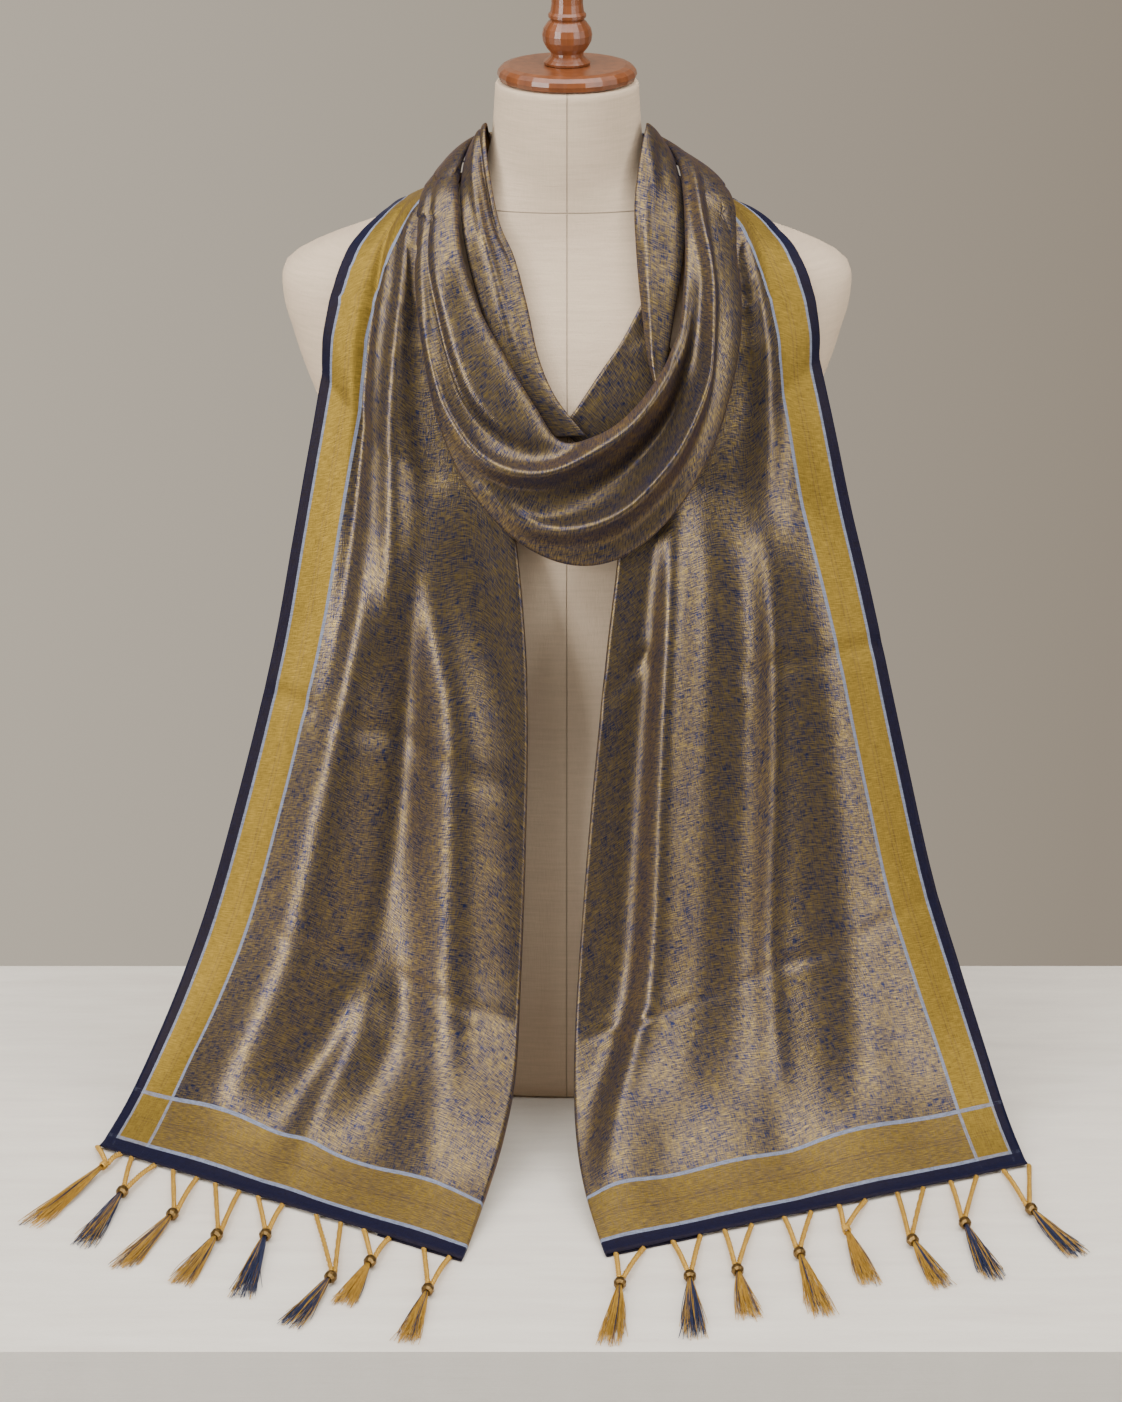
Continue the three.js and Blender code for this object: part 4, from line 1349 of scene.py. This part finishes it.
@dataclass
class Fringe:
    """All the tassels of both ends, their sizes in millimetres and their turns in radians.

    A shape or a spread is a plain share where it bends, tapers or gathers, and each end has its own seeds.
    """

    sides: int = 5
    cord_radius: float = 1.15
    cord_steps: int = 44
    cord_rise: float = 1.6
    cord_turns: tuple[float, ...] = (0.0, math.pi)
    cord_apart: float = 10.5
    cord_gather: float = 0.1
    twist_radius: float = 0.95
    twist_pitch: float = 6.0
    hem_off: float = 1.0
    hem_lift: float = 1.4
    bead_height: float = 5.2
    bead_half: float = 4.6
    into_bead: float = 0.4
    out_of_bead: float = 0.6
    knot_radius: float = 2.3
    knot_turns: int = 3
    knot_length: float = 4.6
    knot_yarn: float = 0.95
    knot_steps: int = 60
    strands: int = 90
    strand_radius: float = 0.36
    strand_taper: float = 0.45
    strand_steps: int = 9
    strand_reach: tuple[float, float] = (0.72, 1.02)
    throat: float = 1.3
    spread: float = 8.6
    spread_power: float = 0.8
    curl: float = 1.9
    curl_turn: float = 3.2
    bundle: float = 2.4
    fall_power: float = 1.2
    lying: float = 0.7
    lying_depth: float = 2.6
    lowest: float = 0.6
    dark_share: float = 0.72
    stray_share: float = 0.12
    right_seed: int = 50
    trims: dict[str, list[bpy.types.Object]] = field(default_factory=dict)

    def hem(self, end: str, root: float) -> np.ndarray:
        """Finds a place along an end's hem.

        Args:
            end: left or right.
            root: Place along the hem, from 0 at its outer corner to 1.

        Returns:
            The point, in millimetres.
        """
        last = (LEFT_END if end == "left" else RIGHT_END).sections[-1]
        return np.array(last.first, float) * (1 - root) + np.array(last.second, float) * root

    def cord(self, start: np.ndarray, stop: np.ndarray, turn: float) -> Strand:
        """Gives one ply of a twisted cord from the hem to the bead.

        Args:
            start: Where it leaves the hem.
            stop: Where it enters the bead.
            turn: The angle that its twist starts at.

        Returns:
            Its points, and its radius at each.
        """
        t = np.linspace(0, 1, self.cord_steps)
        path = start + (stop - start) * t[:, None]
        path[:, 2] += self.cord_rise * np.sin(math.pi * t)
        way = unit(stop - start)
        side = unit(np.cross(way, [0, 0, 1.0]))
        up = np.cross(side, way)
        twist = 2 * math.pi * np.linalg.norm(stop - start) / self.twist_pitch * t + turn
        path += self.twist_radius * (np.cos(twist)[:, None] * side + np.sin(twist)[:, None] * up)
        return path, np.full(len(t), self.cord_radius)

    def brush(self, start: np.ndarray, tip: np.ndarray, rng: np.random.Generator) -> list[Strand]:
        """Gives the strands below the bead, fanned out on the table.

        Args:
            start: Where they leave the bead.
            tip: Where they reach to.
            rng: The tassel's own random numbers.

        Returns:
            Each strand's points, and its radius at each.
        """
        way = unit(tip - start)
        side = np.array([-way[1], way[0], 0.0])
        t = np.linspace(0, 1, self.strand_steps)
        runs = []
        for _ in range(self.strands):
            fan, lift, reach = rng.uniform(-1, 1), rng.uniform(0, 1), rng.uniform(*self.strand_reach)
            curl, phase = rng.normal(0, self.curl), rng.uniform(0, 2 * math.pi)
            path = start + (tip - start) * (t * reach)[:, None]
            fanned = fan * (self.throat + (self.spread - self.throat) * t**self.spread_power)
            open_out = fanned + curl * np.sin(self.curl_turn * t + phase) * t
            path += open_out[:, None] * side
            top = self.bead_height + (lift - 0.5) * self.bundle
            height = top * (1 - t) ** self.fall_power + (self.lying + self.lying_depth * lift) * t
            path[:, 2] = np.maximum(height, self.lowest)
            runs.append((path, self.strand_radius * (1 - self.strand_taper * t)))
        return runs

    def wrap(self, centre: np.ndarray, way: np.ndarray) -> Strand:
        """Gives the turns of yarn that bind a knot.

        Args:
            centre: The knot's middle.
            way: The way that the tassel runs.

        Returns:
            The yarn's points, and its radius at each.
        """
        side = unit(np.cross(way, [0, 0, 1.0]))
        up = np.cross(side, way)
        t = np.linspace(0, 1, self.knot_steps)
        angle = 2 * math.pi * self.knot_turns * t
        path = centre + self.knot_radius * (np.cos(angle)[:, None] * side + np.sin(angle)[:, None] * up)
        path += (t[:, None] - 0.5) * self.knot_length * way
        return path, np.full(len(t), self.knot_yarn)

    def build(self, gold: bpy.types.Material, navy: bpy.types.Material) -> None:
        """Builds every tassel in place of its node.

        Args:
            gold: The gold yarn's material.
            navy: The navy yarn's.
        """
        count = {"left": 0, "right": 0}
        for tassel in TASSELS:
            count[tassel.end] += 1
            name = f"tassel_{tassel.end}_{count[tassel.end]}"
            rng = np.random.default_rng(count[tassel.end] + (0 if tassel.end == "left" else self.right_seed))
            centre = np.array([*tassel.bead, self.bead_height])
            tip = np.array([*tassel.tip, self.bead_height])
            way = unit(tip - centre)
            hem = self.hem(tassel.end, tassel.root)
            across = unit(self.hem(tassel.end, 1) - self.hem(tassel.end, 0))
            off = np.array([across[1], -across[0], 0.0])
            off = -off if off[1] > 0 else off
            start = hem + off * self.hem_off + [0, 0, self.hem_lift]
            stop = centre - way * (self.bead_half - self.into_bead)
            runs = []
            for apart in (-self.cord_apart, self.cord_apart):
                for turn in self.cord_turns:
                    gathered = across * apart * self.cord_gather
                    runs.append(self.cord(start + across * apart, stop + gathered, turn))
            plies = len(runs)
            runs += self.brush(centre + way * (self.bead_half - self.out_of_bead), tip, rng)
            if not tassel.beaded:
                runs.append(self.wrap(centre, way))
            share = self.dark_share if tassel.navy else self.stray_share
            dark = {k for k in range(plies, plies + self.strands) if rng.uniform() < share}
            dressed = [(path * MM, radius * MM, int(k in dark)) for k, (path, radius) in enumerate(runs)]
            piece = tubes(f"{name}_yarn", dressed, self.sides)
            for finish in (gold, navy):
                piece.data.materials.append(finish)
            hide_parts(name)
            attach(piece, ROOT)
            self.trims.setdefault(f"{tassel.end}_end", []).append(piece)
            log.info("%s: %d faces", piece.name, len(piece.data.polygons))


# ---------------------------------------------------------------- stage
@dataclass(frozen=True)
class Lamp:
    """A soft light, with its place and its width and height in metres, and its power in watts."""

    name: str
    place: tuple[float, float, float]
    size: tuple[float, float]
    power: float


LAMPS = (
    Lamp("key", (-1.7, -1.7, 2.3), (2.0, 2.0), 38),
    Lamp("fill", (2.0, -1.4, 1.8), (2.0, 2.0), 22),
    Lamp("top", (0.0, -0.5, 2.6), (3.2, 2.2), 98),
    Lamp("left_strip", (-2.3, -1.9, 0.7), (0.7, 2.4), 78),
    Lamp("right_strip", (2.4, -1.7, 0.7), (0.6, 2.4), 40),
)


@dataclass
class Studio:
    """The table, the lights and the camera in metres and degrees, none of them part of the object."""

    front: float = -0.4456
    back: float = 0.12
    wall: float = 7.0
    fall: float = 5.0
    camera_place: tuple[float, float, float] = (-0.00425, -2.4, 1.27214)
    camera_tilt: float = 67.597
    lens: float = 88.81
    sensor: float = 36.0
    aim: tuple[float, float, float] = (0, -0.1, 0.4)
    table_width: float = 4.0
    table_depth: float = 0.04
    table_colour: Colour = srgb(250, 236, 222)
    wall_size: tuple[float, float] = (16, 12)
    # painted light and painted shade: the backdrop's glow runs from a lit colour on the left to a shaded
    # colour on the right
    wall_painted_light: Colour = srgb(194, 184, 168)
    wall_painted_shade: Colour = srgb(154, 142, 127)
    wall_glow: float = 1.05
    air: Colour = srgb(176, 168, 155)
    air_strength: float = 0.3

    def table(self) -> None:
        """Lays the pale table top."""
        bpy.ops.object.select_all(action="DESELECT")
        middle = (self.front + self.back) / 2
        bpy.ops.mesh.primitive_cube_add(size=1, location=(0, middle, -self.table_depth / 2))
        slab = bpy.context.object
        slab.name = "table_top"
        slab.scale = (self.table_width, self.back - self.front, self.table_depth)
        paint = Linen(name="table_cloth", colour=self.table_colour, seamed=False)
        slab.data.materials.append(paint.make())

    def backdrop(self) -> None:
        """Stands a glowing wall far behind, past every place that the camera moves to; its glow is painted
        light, lighter on the left and fading to painted shade on the right.
        """
        bpy.ops.object.select_all(action="DESELECT")
        turn = (math.pi / 2, 0, 0)
        bpy.ops.mesh.primitive_plane_add(size=1, location=(0, self.wall, 0), rotation=turn)
        wall = bpy.context.object
        wall.name = "backdrop"
        wall.scale = (*self.wall_size, 1)
        paint = bpy.data.materials.new("backdrop")
        paint.use_nodes = True
        shader = paint.node_tree.nodes["Principled BSDF"]
        shader.inputs["Base Color"].default_value = (0, 0, 0, 1)
        shader.inputs["Roughness"].default_value = 1
        graph = Graph(paint.node_tree)
        split = graph.add("ShaderNodeSeparateXYZ")
        graph.put(graph.add("ShaderNodeTexCoord").outputs["Object"], split.inputs[0])
        # painted light: the wall's glow fades from lighter on the left to painted shade on the right
        share = graph.math("ADD", graph.math("MULTIPLY", split.outputs[0], self.fall), 0.5, clamp=True)
        graph.put(graph.mix(share, self.wall_painted_light, self.wall_painted_shade), shader.inputs["Emission Color"])
        shader.inputs["Emission Strength"].default_value = self.wall_glow
        wall.data.materials.append(paint)

    def hang(self, kind: Lamp) -> None:
        """Hangs a soft light, aimed at the chest.

        Args:
            kind: What light it is.
        """
        data = bpy.data.lights.new(kind.name, "AREA")
        data.shape = "RECTANGLE"
        data.size, data.size_y = kind.size
        data.energy = kind.power
        lamp = bpy.data.objects.new(kind.name, data)
        lamp.location = kind.place
        way = Vector(self.aim) - Vector(kind.place)
        lamp.rotation_euler = way.to_track_quat("-Z", "Y").to_euler()
        bpy.context.scene.collection.objects.link(lamp)

    def camera(self) -> None:
        """Sets up the camera."""
        data = bpy.data.cameras.new("view")
        data.lens = self.lens
        data.sensor_width = self.sensor
        camera = bpy.data.objects.new("view", data)
        camera.location = self.camera_place
        camera.rotation_euler = (math.radians(self.camera_tilt), 0, 0)
        bpy.context.scene.collection.objects.link(camera)
        bpy.context.scene.camera = camera

    def build(self) -> None:
        """Sets the whole stage."""
        self.table()
        for kind in LAMPS:
            self.hang(kind)
        self.backdrop()
        world = bpy.data.worlds.new("studio")
        world.use_nodes = True
        backdrop = world.node_tree.nodes["Background"]
        backdrop.inputs["Color"].default_value = (*self.air, 1)
        backdrop.inputs["Strength"].default_value = self.air_strength
        bpy.context.scene.world = world
        self.camera()


@dataclass
class DressForm:
    """The limbless form: a level outline, drawn up through its sections and fitted to them."""

    corners: int = 128
    step: float = 6.0
    foot_round: float = 2.5
    top_round: float = 1.5
    foot_levels: tuple[float, ...] = (0, 0.8, 3)
    top_levels: tuple[float, ...] = (2, 0.5, 0)
    top_margin: float = 4
    smooth_angle: float = 50.0

    def levels(self) -> list[float]:
        """Lays out the rings, closer at the rounded foot and top.

        Returns:
            Their heights in millimetres.
        """
        top = FORM.sections[-1].z
        middle = np.arange(self.step * 1.5, top - self.top_margin, self.step)
        return [*self.foot_levels, *middle, *(top - down for down in self.top_levels)]

    def inset(self, z: float) -> float:
        """Gives how far the outline draws in, at the foot and at the top edge.

        Args:
            z: A height in millimetres.

        Returns:
            The inset in metres.
        """
        from_foot = max(0.0, 1 - z / self.foot_levels[-1])
        from_top = max(0.0, 1 - (FORM.sections[-1].z - z) / self.top_levels[0])
        return (self.foot_round * from_foot**2 + self.top_round * from_top**2) * MM

    def build(self, linen: bpy.types.Material) -> bpy.types.Object:
        """Builds the form in place of its node.

        Args:
            linen: The cover's material.

        Returns:
            The new piece.
        """
        bpy.ops.object.select_all(action="DESELECT")
        bpy.ops.mesh.primitive_circle_add(vertices=self.corners, radius=0.1, fill_type="NGON")
        piece = bpy.context.object
        piece.name = piece.data.name = "form_cover"
        bpy.ops.object.mode_set(mode="EDIT")
        bpy.ops.mesh.select_all(action="SELECT")
        levels = self.levels()
        for low, high in zip(levels, levels[1:]):
            rise = (0, 0, (high - low) * MM)
            bpy.ops.mesh.extrude_region_move(TRANSFORM_OT_translate={"value": rise})
        bpy.ops.mesh.select_all(action="SELECT")
        bpy.ops.mesh.normals_make_consistent(inside=False)
        bpy.ops.object.mode_set(mode="OBJECT")
        self.fit(piece)
        piece.data.materials.append(linen)
        bpy.ops.object.shade_smooth_by_angle(angle=math.radians(self.smooth_angle))
        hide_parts("dress_form")
        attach(piece, ROOT)
        return piece

    def fit(self, piece: bpy.types.Object) -> None:
        """Moves every ring out to the form's section at its height.

        Args:
            piece: The form.
        """
        mesh = piece.data
        points = np.empty(len(mesh.vertices) * 3)
        mesh.vertices.foreach_get("co", points)
        points = points.reshape(-1, 3)
        angle = np.arctan2(points[:, 1], points[:, 0])
        wide, deep, centre, power = np.moveaxis(FORM.columns(points[:, 2]), -1, 0)
        inset = np.array([self.inset(z / MM) for z in points[:, 2]])
        cos, sin = np.cos(angle), np.sin(angle)
        points[:, 0] = np.sign(cos) * np.abs(cos) ** (2 / power) * (wide - inset)
        points[:, 1] = centre + np.sign(sin) * np.abs(sin) ** (2 / power) * (deep - inset)
        mesh.vertices.foreach_set("co", points.ravel())
        mesh.update()


@dataclass
class Trim:
    """The cap, the finial and the beads, dressed on the frame's own nodes."""

    def dress(self) -> None:
        """Gives each carried-over node its finish."""
        wood, brass = Wood().make(), Brass().make()
        for name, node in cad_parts.items():
            if name in ("neck_cap", "finial"):
                finish, slot = wood, "wood"
            elif name.startswith("bead_"):
                finish, slot = brass, "bead"
            else:
                continue
            node.data.materials.clear()
            node.data.materials.append(finish)
            log.info("%s: dressed", name)


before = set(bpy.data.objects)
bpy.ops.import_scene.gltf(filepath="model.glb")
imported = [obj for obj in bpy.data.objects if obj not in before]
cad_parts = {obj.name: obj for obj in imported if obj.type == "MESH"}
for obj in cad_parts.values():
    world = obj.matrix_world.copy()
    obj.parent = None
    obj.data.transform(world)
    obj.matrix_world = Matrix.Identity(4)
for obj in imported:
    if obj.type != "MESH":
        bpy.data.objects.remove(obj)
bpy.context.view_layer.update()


def main() -> None:
    """Builds the whole scene."""
    cover = DressForm().build(Linen().make())
    log.info("%s: %d faces", cover.name, len(cover.data.polygons))
    Trim().dress()
    STOLE.build(Silk().make())
    fringe = Fringe()
    gold = Yarn(name="gold_yarn", main=srgb(214, 170, 72), streak=srgb(150, 108, 40)).make()
    navy = Yarn(name="navy_yarn", main=srgb(46, 54, 88), streak=srgb(18, 22, 40), metallic=0.0).make()
    fringe.build(gold, navy)
    Studio().build()
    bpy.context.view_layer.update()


if __name__ == "__main__":
    main()
